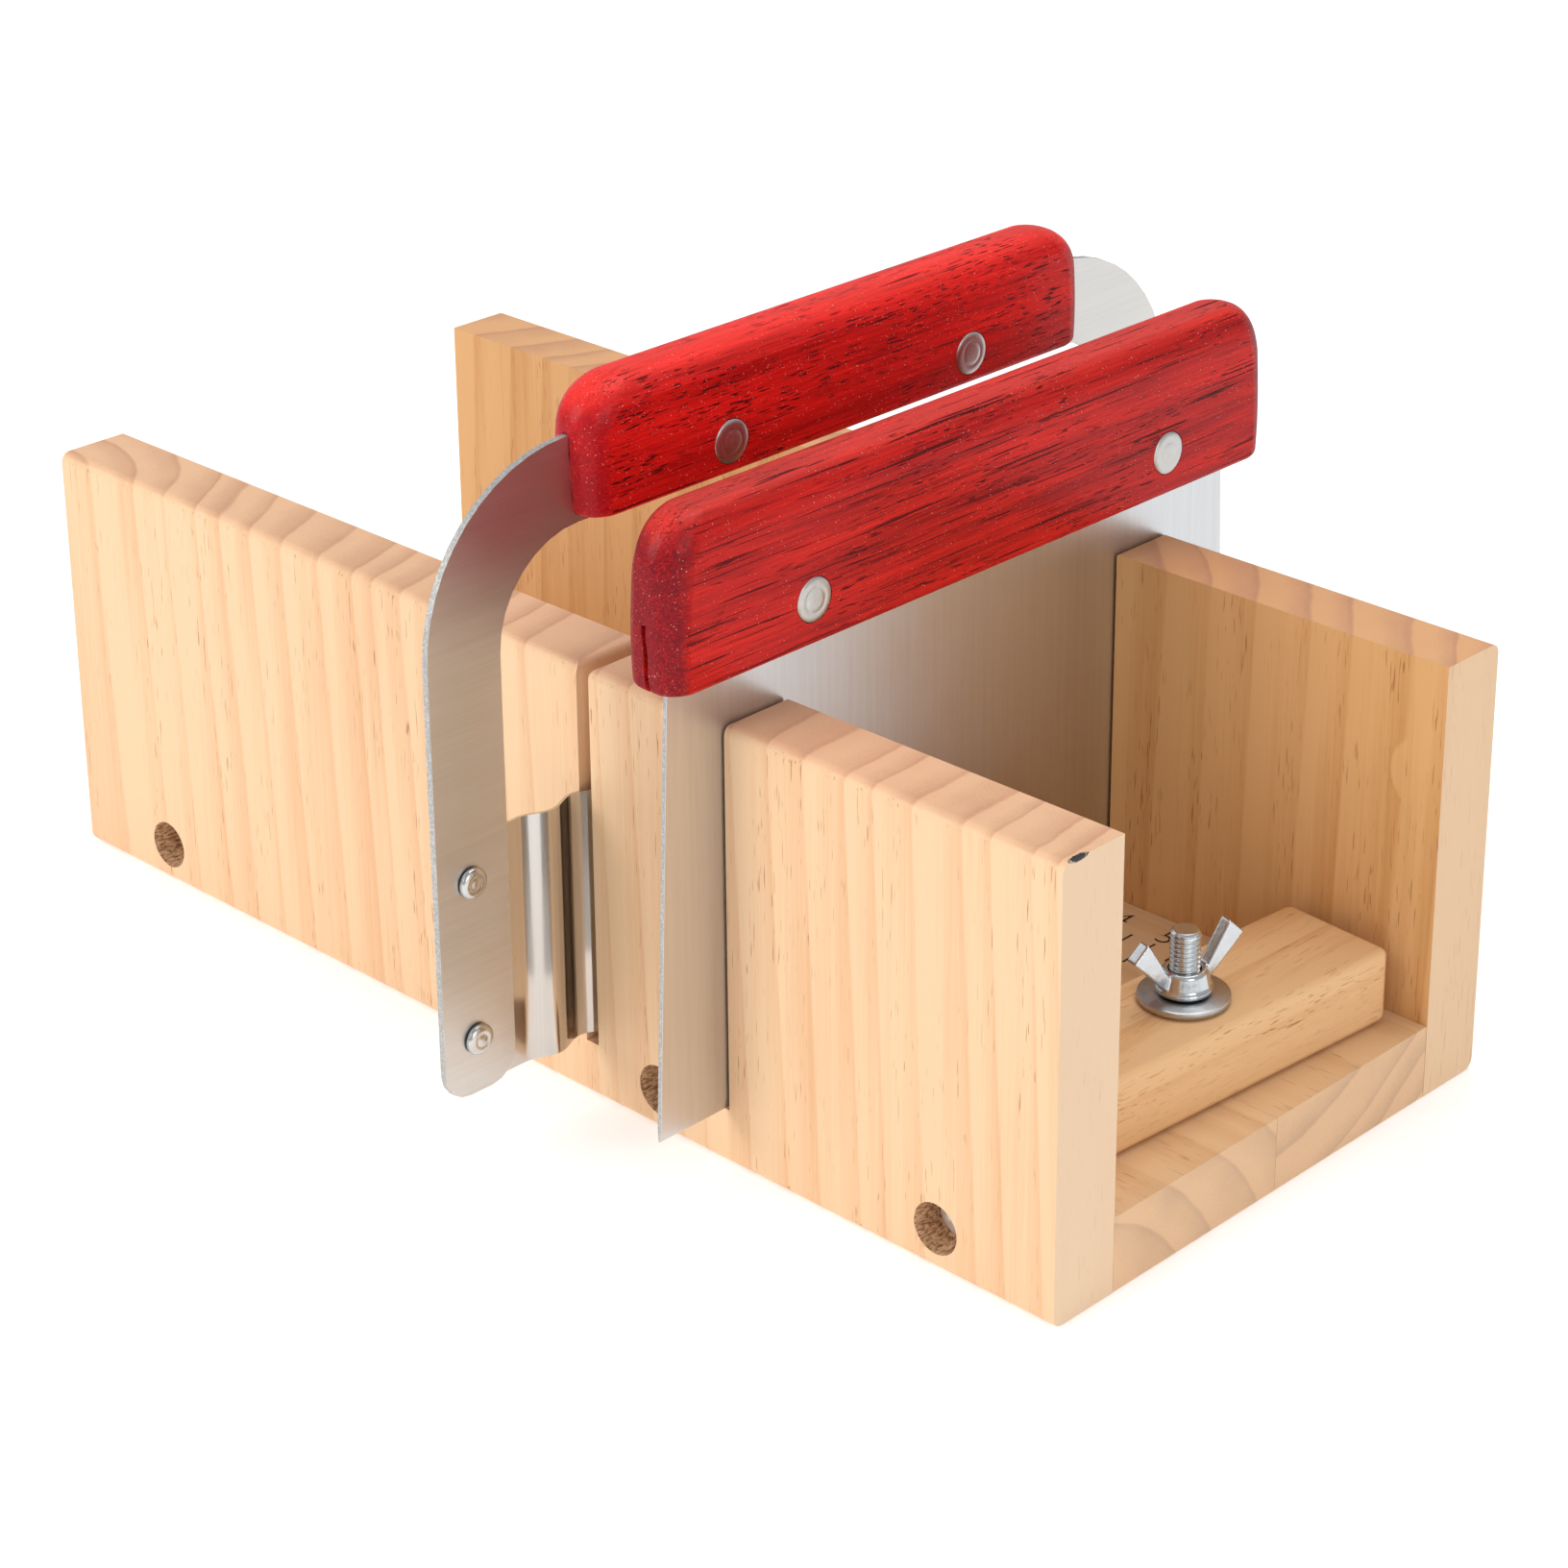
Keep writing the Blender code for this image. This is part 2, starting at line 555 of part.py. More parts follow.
def make_straight_blade(holes):
    """A flat sheet, wider at the cutting edge, whose ground bevel leaves a thin edge."""
    top = STRAIGHT_HANDLE_BOTTOM + STRAIGHT_TANG
    bevel_top = BLADE_BOTTOM + EDGE_BEVEL_HEIGHT
    flare = (STRAIGHT_BLADE_EDGE_WIDTH - STRAIGHT_BLADE_TOP_WIDTH) / 2 / STRAIGHT_BLADE_REACH
    bm = bmesh.new()
    bmesh.ops.create_cube(bm, size=1.0)
    bmesh.ops.bisect_plane(bm, geom=bm.verts[:] + bm.edges[:] + bm.faces[:],
                           plane_co=(0, 0, -0.25), plane_no=(0, 0, 1))
    bmesh.ops.bisect_plane(bm, geom=bm.verts[:] + bm.edges[:] + bm.faces[:],
                           plane_co=(0, 0, 0.25), plane_no=(0, 0, 1))
    levels = {-0.5: BLADE_BOTTOM, -0.25: bevel_top, 0.25: STRAIGHT_HANDLE_BOTTOM, 0.5: top}
    for vert in bm.verts:
        level = round(vert.co.z, 2)
        z = levels[level]
        half_width = STRAIGHT_BLADE_TOP_WIDTH / 2 + flare * max(STRAIGHT_HANDLE_BOTTOM - z, 0.0)
        thick = EDGE_FLAT if level == -0.5 else STRAIGHT_BLADE_THICKNESS
        vert.co = (vert.co.x * thick, vert.co.y * 2 * half_width, z)
    blade = add_object("straight_blade", mesh_from("straight_blade", bm), BRUSHED,
                       (STRAIGHT_KERF_X, STRAIGHT_CUTTER_Y, 0))
    for hole in holes:
        boolean(blade, hole)


def make_straight_cutter():
    rivet_z = STRAIGHT_HANDLE_BOTTOM + STRAIGHT_RIVET_RISE
    wood_cutters, tang_cutters = handle_rivets(
        "straight", STRAIGHT_KERF_X, STRAIGHT_CUTTER_Y + STRAIGHT_RIVET_SHIFT, rivet_z,
        STRAIGHT_RIVET_SPACING)
    make_straight_blade(tang_cutters)
    middle = STRAIGHT_CUTTER_Y + STRAIGHT_HANDLE_SHIFT
    grip = handle("straight_handle", STRAIGHT_HANDLE_LENGTH, STRAIGHT_HANDLE_HEIGHT,
                  (STRAIGHT_CROWN_HEIGHT, STRAIGHT_CROWN_DEPTH),
                  (STRAIGHT_NOSE_HEIGHT, STRAIGHT_NOSE_LENGTH),
                  (STRAIGHT_KERF_X, middle, STRAIGHT_HANDLE_BOTTOM))
    half_slit = STRAIGHT_BLADE_THICKNESS / 2 + RIVET_GAP
    reach = STRAIGHT_HANDLE_LENGTH / 2 + CUT_PAST
    slit = box_cutter(
        "straight_slit",
        (STRAIGHT_KERF_X - half_slit, middle - reach, STRAIGHT_HANDLE_BOTTOM - CUT_PAST),
        (STRAIGHT_KERF_X + half_slit, middle + reach,
         STRAIGHT_HANDLE_BOTTOM + STRAIGHT_TANG + RIVET_GAP))
    for cutter in [slit] + wood_cutters:
        boolean(grip, cutter)


# Wavy cutter

def bow_outline():
    """The bow in its own plane (u along Y, v up): two arms and a top bar with round corners."""
    outer, inner = BOW_WIDTH / 2, ARM_INNER
    low, high = ARM_BOTTOM, BOW_TOP
    under = high - BOW_BAND
    end = ARM_END_RADIUS
    points = arc((outer - end, low + end), end, -90, 0, CORNER_STEPS)
    points += arc((outer - BOW_OUTER_RADIUS, high - BOW_OUTER_RADIUS), BOW_OUTER_RADIUS, 0, 90, 12)
    points += arc((-outer + BOW_OUTER_RADIUS, high - BOW_OUTER_RADIUS), BOW_OUTER_RADIUS, 90, 180, 12)
    points += arc((-outer + end, low + end), end, 180, 270, CORNER_STEPS)
    points += arc((-inner - end, low + end), end, 270, 360, CORNER_STEPS)
    points += arc((-inner + BOW_INNER_RADIUS, under - BOW_INNER_RADIUS), BOW_INNER_RADIUS, 180, 90, 8)
    points += arc((inner - BOW_INNER_RADIUS, under - BOW_INNER_RADIUS), BOW_INNER_RADIUS, 90, 0, 8)
    points += arc((inner + end, low + end), end, 180, 270, CORNER_STEPS)
    return points


def arm_rivet_places():
    low = ARM_BOTTOM + ARM_RIVET_RISE
    return [(sign * ARM_RIVET_Y, z) for sign in (-1, 1) for z in (low, low + ARM_RIVET_SPACING)]


def make_bow():
    hole = ARM_RIVET_SHANK_DIAMETER / 2 + RIVET_GAP
    outlines = [bow_outline()]
    outlines += [arc(place, hole, 0, 342, SMALL_STEPS - 1) for place in arm_rivet_places()]
    rivet_z = WAVY_HANDLE_BOTTOM + WAVY_RIVET_RISE
    tang_hole = RIVET_SHANK_DIAMETER / 2 + RIVET_GAP
    for sign in (-1, 1):
        place = (WAVY_RIVET_SHIFT + sign * WAVY_RIVET_SPACING / 2, rivet_z)
        outlines.append(arc(place, tang_hole, 0, 342, SMALL_STEPS - 1))
    mesh = flat_mesh("wavy_bow", outlines, BOW_THICKNESS)
    mesh.transform(Matrix(((0, 0, 1, 0), (1, 0, 0, 0), (0, 1, 0, 0), (0, 0, 0, 1))))
    add_object("wavy_bow", mesh, BRUSHED, (BOW_X, 0, 0))


def wave_offset(y):
    """How far the sheet stands from its trough at y."""
    half = ARM_INNER - WAVE_TAB
    if abs(y) >= half:
        return 0.0
    phase = 2 * math.pi * WAVE_COUNT * (y + half) / (2 * half)
    return WAVE_HEIGHT / 2 * (1 - math.cos(phase))


def make_wavy_blade():
    """A corrugated sheet: an open surface that follows the wave, with a thickness."""
    half = ARM_INNER - WAVE_TAB
    count = WAVE_COUNT * WAVE_STEPS
    stations = [-half + 2 * half * i / count for i in range(count + 1)]
    stations = [-WAVY_BLADE_WIDTH / 2] + stations + [WAVY_BLADE_WIDTH / 2]
    bm = bmesh.new()
    bmesh.ops.create_grid(bm, x_segments=len(stations) - 1, y_segments=1, size=1.0)
    last = len(stations) - 1
    for vert in bm.verts:
        y = stations[round((vert.co.x + 1) / 2 * last)]
        z = BLADE_BOTTOM + WAVY_BLADE_HEIGHT * (vert.co.y + 1) / 2
        vert.co = (wave_offset(y), y, z)
    blade = add_object("wavy_blade", mesh_from("wavy_blade", bm), POLISHED, (TROUGH_X, 0, 0))
    sheet = blade.modifiers.new("sheet", "SOLIDIFY")
    sheet.thickness = WAVY_BLADE_THICKNESS
    sheet.offset = 0.0
    hole = ARM_RIVET_SHANK_DIAMETER / 2 + RIVET_GAP
    for index, (y, z) in enumerate(arm_rivet_places()):
        drill = turned(f"blade_hole_{index}", drill_profile(hole, CUT_PAST, -CUT_PAST),
                       steps=SMALL_STEPS, group=CUTTERS)
        drill.matrix_world = Matrix.Translation((TROUGH_X, y, z)) @ Matrix.Rotation(math.pi / 2, 4, "Y")
        boolean(blade, hide_cutter(drill))


def arm_rivet_profile():
    """A rivet through the bow and the sheet: a raised head in front and a smaller tail behind."""
    front = BOW_THICKNESS / 2 + GAP
    back = -BOW_THICKNESS / 2 - 2 * GAP - WAVY_BLADE_THICKNESS
    head, tail, shank = (ARM_RIVET_HEAD_DIAMETER / 2, ARM_RIVET_TAIL_DIAMETER / 2,
                         ARM_RIVET_SHANK_DIAMETER / 2)
    head_dome = cap(head, ARM_RIVET_HEAD_HEIGHT - ARM_RIVET_RIM)
    tail_dome = mirrored(cap(tail, ARM_RIVET_TAIL_HEIGHT - ARM_RIVET_RIM))
    return (raised(head_dome, front + ARM_RIVET_RIM) + [(head, front), (shank, front), (shank, back)]
            + [(tail, back)] + raised(tail_dome, back - ARM_RIVET_RIM))


def make_arm_rivets():
    names = ("near_low", "near_high", "far_low", "far_high")
    for name, (y, z) in zip(names, arm_rivet_places()):
        rivet = turned(f"blade_rivet_{name}", arm_rivet_profile(), RIVET_METAL, steps=SMALL_STEPS)
        rivet.matrix_world = Matrix.Translation((BOW_X, y, z)) @ Matrix.Rotation(math.pi / 2, 4, "Y")


def make_wavy_cutter():
    make_bow()
    make_wavy_blade()
    make_arm_rivets()
    rivet_z = WAVY_HANDLE_BOTTOM + WAVY_RIVET_RISE
    wood_cutters = handle_rivets("wavy", BOW_X, WAVY_RIVET_SHIFT, rivet_z, WAVY_RIVET_SPACING)[0]
    grip = handle("wavy_handle", WAVY_HANDLE_LENGTH, WAVY_HANDLE_HEIGHT,
                  (WAVY_CROWN_HEIGHT, WAVY_CROWN_DEPTH), (WAVY_NOSE_HEIGHT, WAVY_NOSE_LENGTH),
                  (BOW_X, WAVY_HANDLE_SHIFT, WAVY_HANDLE_BOTTOM))
    half_slit = BOW_THICKNESS / 2 + RIVET_GAP
    reach = WAVY_HANDLE_LENGTH / 2 + WAVY_HANDLE_SHIFT + CUT_PAST
    slit = box_cutter("wavy_slit", (BOW_X - half_slit, -reach, WAVY_HANDLE_BOTTOM - CUT_PAST),
                      (BOW_X + half_slit, reach, BOW_TOP + RIVET_GAP))
    for cutter in [slit] + wood_cutters:
        boolean(grip, cutter)


# Stop

def make_stop_block():
    mesh = box_mesh("stop_block", (STOP_WIDTH, STOP_LENGTH, STOP_HEIGHT),
                    ((lambda edge: True, STOP_EASING, 2),))
    block = add_object("stop_block", mesh, STOP_WOOD,
                       (STOP_X, BOX_Y, FLOOR_THICKNESS + GAP + STOP_HEIGHT / 2))
    block.rotation_euler = (0, 0, STOP_TURN)
    radius = BOLT_DIAMETER / 2 + BOLT_HOLE_PLAY
    reach = STOP_HEIGHT / 2 + CUT_PAST
    drill = turned("stop_hole", drill_profile(radius, reach, -reach), None,
                   (STOP_X, BOX_Y, FLOOR_THICKNESS + GAP + STOP_HEIGHT / 2), SMALL_STEPS, CUTTERS)
    boolean(block, hide_cutter(drill))


def make_washer():
    hole, rim = BOLT_DIAMETER / 2 + BOLT_HOLE_PLAY, WASHER_DIAMETER / 2
    ease = WASHER_THICKNESS / 5
    profile = [(hole, WASHER_THICKNESS), (rim - ease, WASHER_THICKNESS), (rim, WASHER_THICKNESS - ease),
               (rim, ease), (rim - ease, 0.0), (hole, 0.0), (hole, WASHER_THICKNESS)]
    turned("stop_washer", profile, ZINC, (STOP_X, BOX_Y, STOP_TOP + GAP))


def make_clamp_bolt():
    """A carriage bolt whose origin is on its axis, under the dome's flat."""
    shank, dome = BOLT_DIAMETER / 2, DOME_DIAMETER / 2
    profile = [(0.0, BOLT_LENGTH), (shank - BOLT_CHAMFER, BOLT_LENGTH),
               (shank, BOLT_LENGTH - BOLT_CHAMFER), (shank, 0.0)] + mirrored(cap(dome, DOME_HEIGHT))
    bolt = turned("clamp_bolt", profile, ZINC, (STOP_X, BOX_Y, DOME_SEAT))
    neck = box_cutter("square_neck",
                      (STOP_X - SQUARE_NECK / 2, BOX_Y - SQUARE_NECK / 2, DOME_SEAT - SQUARE_NECK_ROOT),
                      (STOP_X + SQUARE_NECK / 2, BOX_Y + SQUARE_NECK / 2, DOME_SEAT + SQUARE_NECK_HEIGHT))
    boolean(bolt, neck, "UNION")


def wing_outline():
    """One wing, from inside the hub out to its blunt slanted end: u is the radius, v the height."""
    tip = WING_SPAN / 2
    slant = WING_BREADTH * math.sqrt(0.5)
    in_the_wall = (BOLT_DIAMETER + NUT_TOP_DIAMETER) / 4
    top = NUT_HEIGHT - NUT_EASING
    return [(in_the_wall, NUT_RIM), (NUT_BASE_DIAMETER / 2 - NUT_EASING, NUT_RIM),
            (tip, WING_HEIGHT - slant), (tip - slant, WING_HEIGHT),
            (NUT_TOP_DIAMETER / 2, top), (in_the_wall, top)]


def make_wing_nut():
    """The hub with two wings, bored for the bolt; its origin is on the bolt's axis, under the hub."""
    base, top, ease = NUT_BASE_DIAMETER / 2, NUT_TOP_DIAMETER / 2, NUT_EASING
    location = (STOP_X, BOX_Y, WASHER_TOP + GAP)
    nut = turned("wing_nut", [(0, NUT_HEIGHT), (top - ease, NUT_HEIGHT), (top, NUT_HEIGHT - ease),
                              (base - ease, NUT_RIM), (base, NUT_RIM - ease), (base, ease),
                              (base - ease, 0), (0, 0)], ZINC, location)
    for index, extra in enumerate((0.0, math.pi)):
        mesh = flat_mesh(f"wing_{index}", [wing_outline()], WING_THICKNESS)
        mesh.transform(Matrix.Rotation(math.pi / 2, 4, "X"))
        wing = hide_cutter(add_object(f"wing_{index}", mesh, None, location, CUTTERS))
        wing.rotation_euler = (0, 0, WING_TURN + extra)
        ease_edges = wing.modifiers.new("ease", "BEVEL")
        ease_edges.width = WING_EASING
        ease_edges.segments = 2
        ease_edges.limit_method = "ANGLE"
        ease_edges.angle_limit = math.radians(50)
        boolean(nut, wing, "UNION")
    bore = BOLT_DIAMETER / 2 + THREAD_GAP
    drill = turned("nut_bore", drill_profile(bore, NUT_HEIGHT + CUT_PAST, -CUT_PAST),
                   None, location, ROUND_STEPS, CUTTERS)
    boolean(nut, hide_cutter(drill))


def build():
    kerfs = make_kerf_cutters()
    holes = make_screws()
    make_side_boards(kerfs, holes)
    make_floor(kerfs, holes)
    make_straight_cutter()
    make_wavy_cutter()
    make_stop_block()
    make_washer()
    make_clamp_bolt()
    make_wing_nut()


build()
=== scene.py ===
"""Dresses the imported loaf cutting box: bare pine, red stained handles, stainless blades, zinc hardware.

Lengths are in metres, written as millimetres times MM. X runs along the box towards its stop block,
Y across it along both cutters, and Z up.
"""

import math

import bmesh
import bpy
from mathutils import Matrix, Vector


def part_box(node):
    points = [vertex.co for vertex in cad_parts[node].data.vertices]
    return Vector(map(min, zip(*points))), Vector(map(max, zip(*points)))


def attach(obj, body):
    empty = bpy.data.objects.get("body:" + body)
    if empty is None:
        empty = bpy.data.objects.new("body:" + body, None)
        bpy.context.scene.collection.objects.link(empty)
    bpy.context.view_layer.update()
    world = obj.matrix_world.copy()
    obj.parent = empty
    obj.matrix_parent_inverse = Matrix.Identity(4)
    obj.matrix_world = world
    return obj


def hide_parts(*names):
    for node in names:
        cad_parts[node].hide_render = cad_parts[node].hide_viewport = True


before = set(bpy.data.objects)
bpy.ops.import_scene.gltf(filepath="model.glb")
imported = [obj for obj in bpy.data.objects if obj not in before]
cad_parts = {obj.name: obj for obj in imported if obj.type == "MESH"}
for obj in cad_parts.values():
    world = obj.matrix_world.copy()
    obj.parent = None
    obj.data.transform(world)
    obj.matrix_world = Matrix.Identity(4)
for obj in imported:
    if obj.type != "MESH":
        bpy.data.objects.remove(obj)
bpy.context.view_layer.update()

MM = 0.001
SIDES = {"near": -1, "far": 1}      # which way along Y each side of the box faces
OVERCUT = 1.0 * MM                  # how far a cutting shape stands out of what it cuts
SLIVER = 0.003 * MM                 # points nearer than this to each other become one

# Camera, as the photograph was taken, and the studio round it
CAMERA_PLACE = (437.0 * MM, -435.9 * MM, 330.7 * MM)
CAMERA_AZIMUTH = 43.21              # degrees
CAMERA_ELEVATION = 22.18
CAMERA_LENS = 90.65                 # millimetres, as the sensor's width is
SENSOR_WIDTH = 36.0
CAMERA_SHIFT = (-0.052, -0.164)
LAMPS = (("key", (-0.55, -1.35, 0.85), 1.0, 13.5),   # name, place and side in metres, watts
         ("fill", (1.5, -0.5, 0.7), 0.9, 5.5),
         ("top", (0.0, 0.4, 1.6), 1.1, 9.0))
LAMP_TARGET = Vector((0.0, 0.0, 0.04))
SKY_STRENGTH = 0.50
STUDIO_RADIUS = 6.0
STUDIO_DROP = 0.2 * MM              # the paper lies a hair under the box

# Box, as it is sawn and drilled
WAVY_KERF = (18.4 * MM, 2.8 * MM)   # middle and width
STRAIGHT_KERF = (49.15 * MM, 1.5 * MM)
KERF_BOTTOM = 10.0 * MM
WAVY_MOUTH = 1.2 * MM               # rounding of the wavy kerf's mouth
STRAIGHT_MOUTH = 0.5 * MM
FLOOR_MOUTH = 0.1 * MM
COUNTERBORE = (8.7 * MM, 5.0 * MM)  # diameter and depth
SCREW_SEAT = (7.6 * MM, 3.0 * MM)   # the same of the hole under it
SLOT = (29.0 * MM, 103.0 * MM, 3.05 * MM)  # centres of the round ends, and radius
GROOVE = (7.25 * MM, 5.6 * MM)      # radius and depth
OUTER_EASING = 1.8 * MM             # planed edges of the boards
SAWN_EASING = 0.35 * MM             # sanded edges of their cuts
STAVE_EASING = 0.2 * MM
GLUE_LINE = 0.06 * MM               # what shows of a glued joint
SCREW_PROFILE = ((0.0, 0.0), (3.4, 0.0), (3.7, -0.25), (3.7, -0.7),   # radius and height in millimetres
                 (1.8, -2.7), (1.8, -24.0), (0.0, -28.0))
RECESS = (2.1 * MM, 0.55 * MM, 1.6 * MM)  # half length, half width and depth of the cross
RECESS_TURN = 0.5                   # radians
RECESS_EASING = 0.12 * MM

# Handles
HANDLE_FOOT = 1.2 * MM
HANDLE_CORNER = (3.7 * MM, 5.4 * MM)  # upright end edges, at the foot and at the top
HANDLE_TAPER = (0.7 * MM, 12.0 * MM)  # how far the ends draw in towards the foot, and from what height
STRAIGHT_CROWN = (6.0 * MM, 3.2 * MM)  # height and depth of the rounding along the top
STRAIGHT_NOSE = (10.2 * MM, 8.2 * MM)  # the same over each end
WAVY_CROWN = (4.0 * MM, 4.5 * MM)
WAVY_NOSE = (7.8 * MM, 10.5 * MM)
CREASE = math.radians(13.0)         # how sharply the roundings leave the flat faces
CUT_EASING = 0.12 * MM              # edges of the slit and the rivet seats
STRAIGHT_SLIT = 0.45 * MM           # half widths
WAVY_SLIT = 0.65 * MM
SLIT_ROOM = 0.2 * MM                # how far a slit runs on above its sheet
SLIT_WAVER = (0.16 * MM, 0.9)       # how far its faces waver, and the turn in radians a millimetre

# Rivets; a head's profile runs from its middle outwards, with its heights in millimetres
HANDLE_RIVET = 7.4 * MM             # diameter
HANDLE_RIVET_GAP = 0.06 * MM        # round each head, in its seat
HANDLE_RIVET_HEAD = ((0.0, 0.0), (0.30, 0.0), (0.50, -0.04), (0.56, -0.12),   # shares of the radius
                     (0.62, -0.05), (0.84, -0.16), (0.95, -0.27), (1.0, -0.42))
ARM_RIVET_HEAD = ((0.0, 0.0), (0.6, -0.02), (0.9, -0.14), (1.25, -0.14),      # radii in millimetres
                  (1.55, -0.02), (2.1, -0.16), (2.48, -0.45), (2.6, -0.8), (2.55, -1.08), (1.5, -1.12))
ARM_RIVET_TAIL = 0.88               # width of the hammered head, as a share of the other's

# Sheets
WAVE_COUNT = 12
WAVE_HEIGHT = 1.8 * MM
WAVE_HALF = 69.0 * MM               # from the middle to the last wave's end
WAVE_STATIONS = 32                  # points a wave
SHEET = 0.5 * MM                    # thickness
TROUGH_X = 17.5 * MM                # where the flat laps and the waves' troughs lie
ARM_END_RADIUS = 5.0 * MM           # outer corner of each of the bow's arms
BLADE_EASING = 0.06 * MM
BOW_EASING = 0.10 * MM

# Clamp
STOP_EASING = 0.15 * MM
WASHER_HOLE = 2.95 * MM             # radius
SHANK = 2.5 * MM                    # radius
NECK = (2.75 * MM, 3.4 * MM)        # half width, and height over the dome
DOME_SEAT = 5.3 * MM                # height above the ground, as the next is
THREAD_BOTTOM = 12.0 * MM
THREAD_PITCH = 0.8 * MM
THREAD_DEPTH = 0.42 * MM
THREAD_RINGS = 14                   # rings of points a turn, and points a ring
THREAD_SIDES = 48
BOLT_CHAMFER = 0.5 * MM
NUT_VOXEL = 0.13 * MM

# Ruler burnt into the floor
RULER_ZERO = 17.4 * MM
RULER_STEP = 5.0 * MM
RULER_TICKS = 18
RULER_EDGE_Y = 29.1 * MM            # where every tick ends
HALF_TICK = 3.5 * MM
WHOLE_TICK = 8.6 * MM
BURNT_LINE = 0.45 * MM
BURNT_SKIN = 0.02 * MM              # thickness of the marks
BURNT_LIFT = 0.012 * MM             # height of their middles over the floor
DIGIT_HEIGHT = 5.0 * MM
DIGIT_BASE_Y = 30.1 * MM
FONT_SIZE = 1.37                    # a font's size for digits one unit high
DIGIT_THINNING = 0.10 * MM

FLOOR_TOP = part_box("floor_stave_near")[1].z
BOX_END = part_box("near_side_board")[1].x / MM


# Node trees

def one_node(operation):
    """A method that puts a value, and others beside it, through one Math node."""
    def method(self, *others):
        return self.tree.add("ShaderNodeMath", {"operation": operation}, dict(enumerate((self, *others))))
    return method


class Value:
    """An output socket of a tree, so that sums on it are written as Python expressions."""

    def __init__(self, tree, socket):
        self.tree = tree
        self.socket = socket

    __add__ = __radd__ = one_node("ADD")
    __mul__ = __rmul__ = one_node("MULTIPLY")
    __sub__ = one_node("SUBTRACT")
    __truediv__ = one_node("DIVIDE")
    __abs__ = one_node("ABSOLUTE")
    power = one_node("POWER")
    sine = one_node("SINE")
    cosine = one_node("COSINE")
    fraction = one_node("FRACT")
    remainder = one_node("MODULO")
    least = one_node("MINIMUM")
    most = one_node("MAXIMUM")

    def __rsub__(self, other):
        return self * -1.0 + other

    def rise(self, low, high):
        """0 below low, 1 above high, and an S-shaped rise between them."""
        return self.tree.add("ShaderNodeMapRange", {"interpolation_type": "SMOOTHSTEP"},
                             {"Value": self, "From Min": low, "From Max": high})

    def blend(self, first, second):
        """A colour that goes from first, where this value is 0, to second, where it is 1."""
        return self.tree.add("ShaderNodeMix", {"data_type": "RGBA"}, {0: self, 6: first, 7: second}, out=2)


class Tree:
    """A node tree made in code."""

    def __init__(self, group):
        self.group = group

    def add(self, kind, settings=None, inputs=None, out=0):
        """A node with its settings, then its inputs by name or number; gives one of its outputs."""
        node = self.group.nodes.new(kind)
        for name, value in (settings or {}).items():
            setattr(node, name, value)
        for key, value in (inputs or {}).items():
            self.feed(node.inputs[key], value)
        return Value(self, node.outputs[out])

    def feed(self, socket, value):
        if isinstance(value, Value):
            self.group.links.new(value.socket, socket)
        elif isinstance(value, tuple) and len(value) == 3 and socket.type == "RGBA":
            socket.default_value = (*value, 1.0)
        else:
            socket.default_value = value

    def parts(self, vector):
        """The three numbers of a vector."""
        node = self.group.nodes.new("ShaderNodeSeparateXYZ")
        self.feed(node.inputs[0], vector)
        return [Value(self, socket) for socket in node.outputs]

    def vector(self, *parts):
        return self.add("ShaderNodeCombineXYZ", None, dict(enumerate(parts)))


class Finish(Tree):
    """A material about one Principled BSDF, with patterns in millimetres on Object coordinates."""

    def __init__(self, name, **uniform):
        self.material = bpy.data.materials.new(name)
        self.material.use_nodes = True
        super().__init__(self.material.node_tree)
        self.shader = self.group.nodes["Principled BSDF"]
        self.set(**uniform)
        self.place = self.add("ShaderNodeTexCoord", out="Object")
        self.normal = self.add("ShaderNodeTexCoord", out="Normal")

    def set(self, **values):
        """Feeds the shader's sockets, whose names are written with _ for a space."""
        for name, value in values.items():
            self.feed(self.shader.inputs[name.replace("_", " ")], value)

    def noise(self, size, shift=(0.0, 0.0, 0.0), detail=2.0, rough=0.5, turn=(0.0, 0.0, 0.0)):
        """A noise from 0 to 1, whose blotches are about size millimetres along each axis."""
        spot = self.add("ShaderNodeMapping", None,
                        {"Vector": self.place, "Scale": tuple(1.0 / (length * MM) for length in size),
                         "Location": shift, "Rotation": turn})
        return self.add("ShaderNodeTexNoise", None,
                        {"Vector": spot, "Scale": 1.0, "Detail": detail, "Roughness": rough})

    def bump(self, height, distance, strength=1.0):
        """A normal that is bent by a relief, which is distance deep where the height is 1."""
        return self.add("ShaderNodeBump", None,
                        {"Height": height, "Distance": distance, "Strength": strength})


# Materials

PINE_PALE = (0.815, 0.555, 0.335)
PINE_DARK = (0.70, 0.36, 0.175)
PINE_END = (0.60, 0.32, 0.19)
PINE_SAWN = (0.78, 0.60, 0.43)
RESIN = (0.42, 0.17, 0.065)
PENCIL = (0.03, 0.03, 0.035)
RED_PORE = (0.045, 0.004, 0.006)
# a painted highlight, laid along the red handles' crowns
RED_PAINTED_HIGHLIGHT = (1.0, 0.22, 0.17)
WOOD_DUST = (0.86, 0.42, 0.34)
TORN_RIM = (0.40, 0.40, 0.39)


def along(axis, length, across):
    """Pattern sizes of length along an axis and of across on the two others."""
    size = [across, across]
    size.insert(axis, length)
    return tuple(size)


def scaled(colour, share):
    """A darker or lighter tone of a colour."""
    return tuple(min(part * share, 1.0) for part in colour)


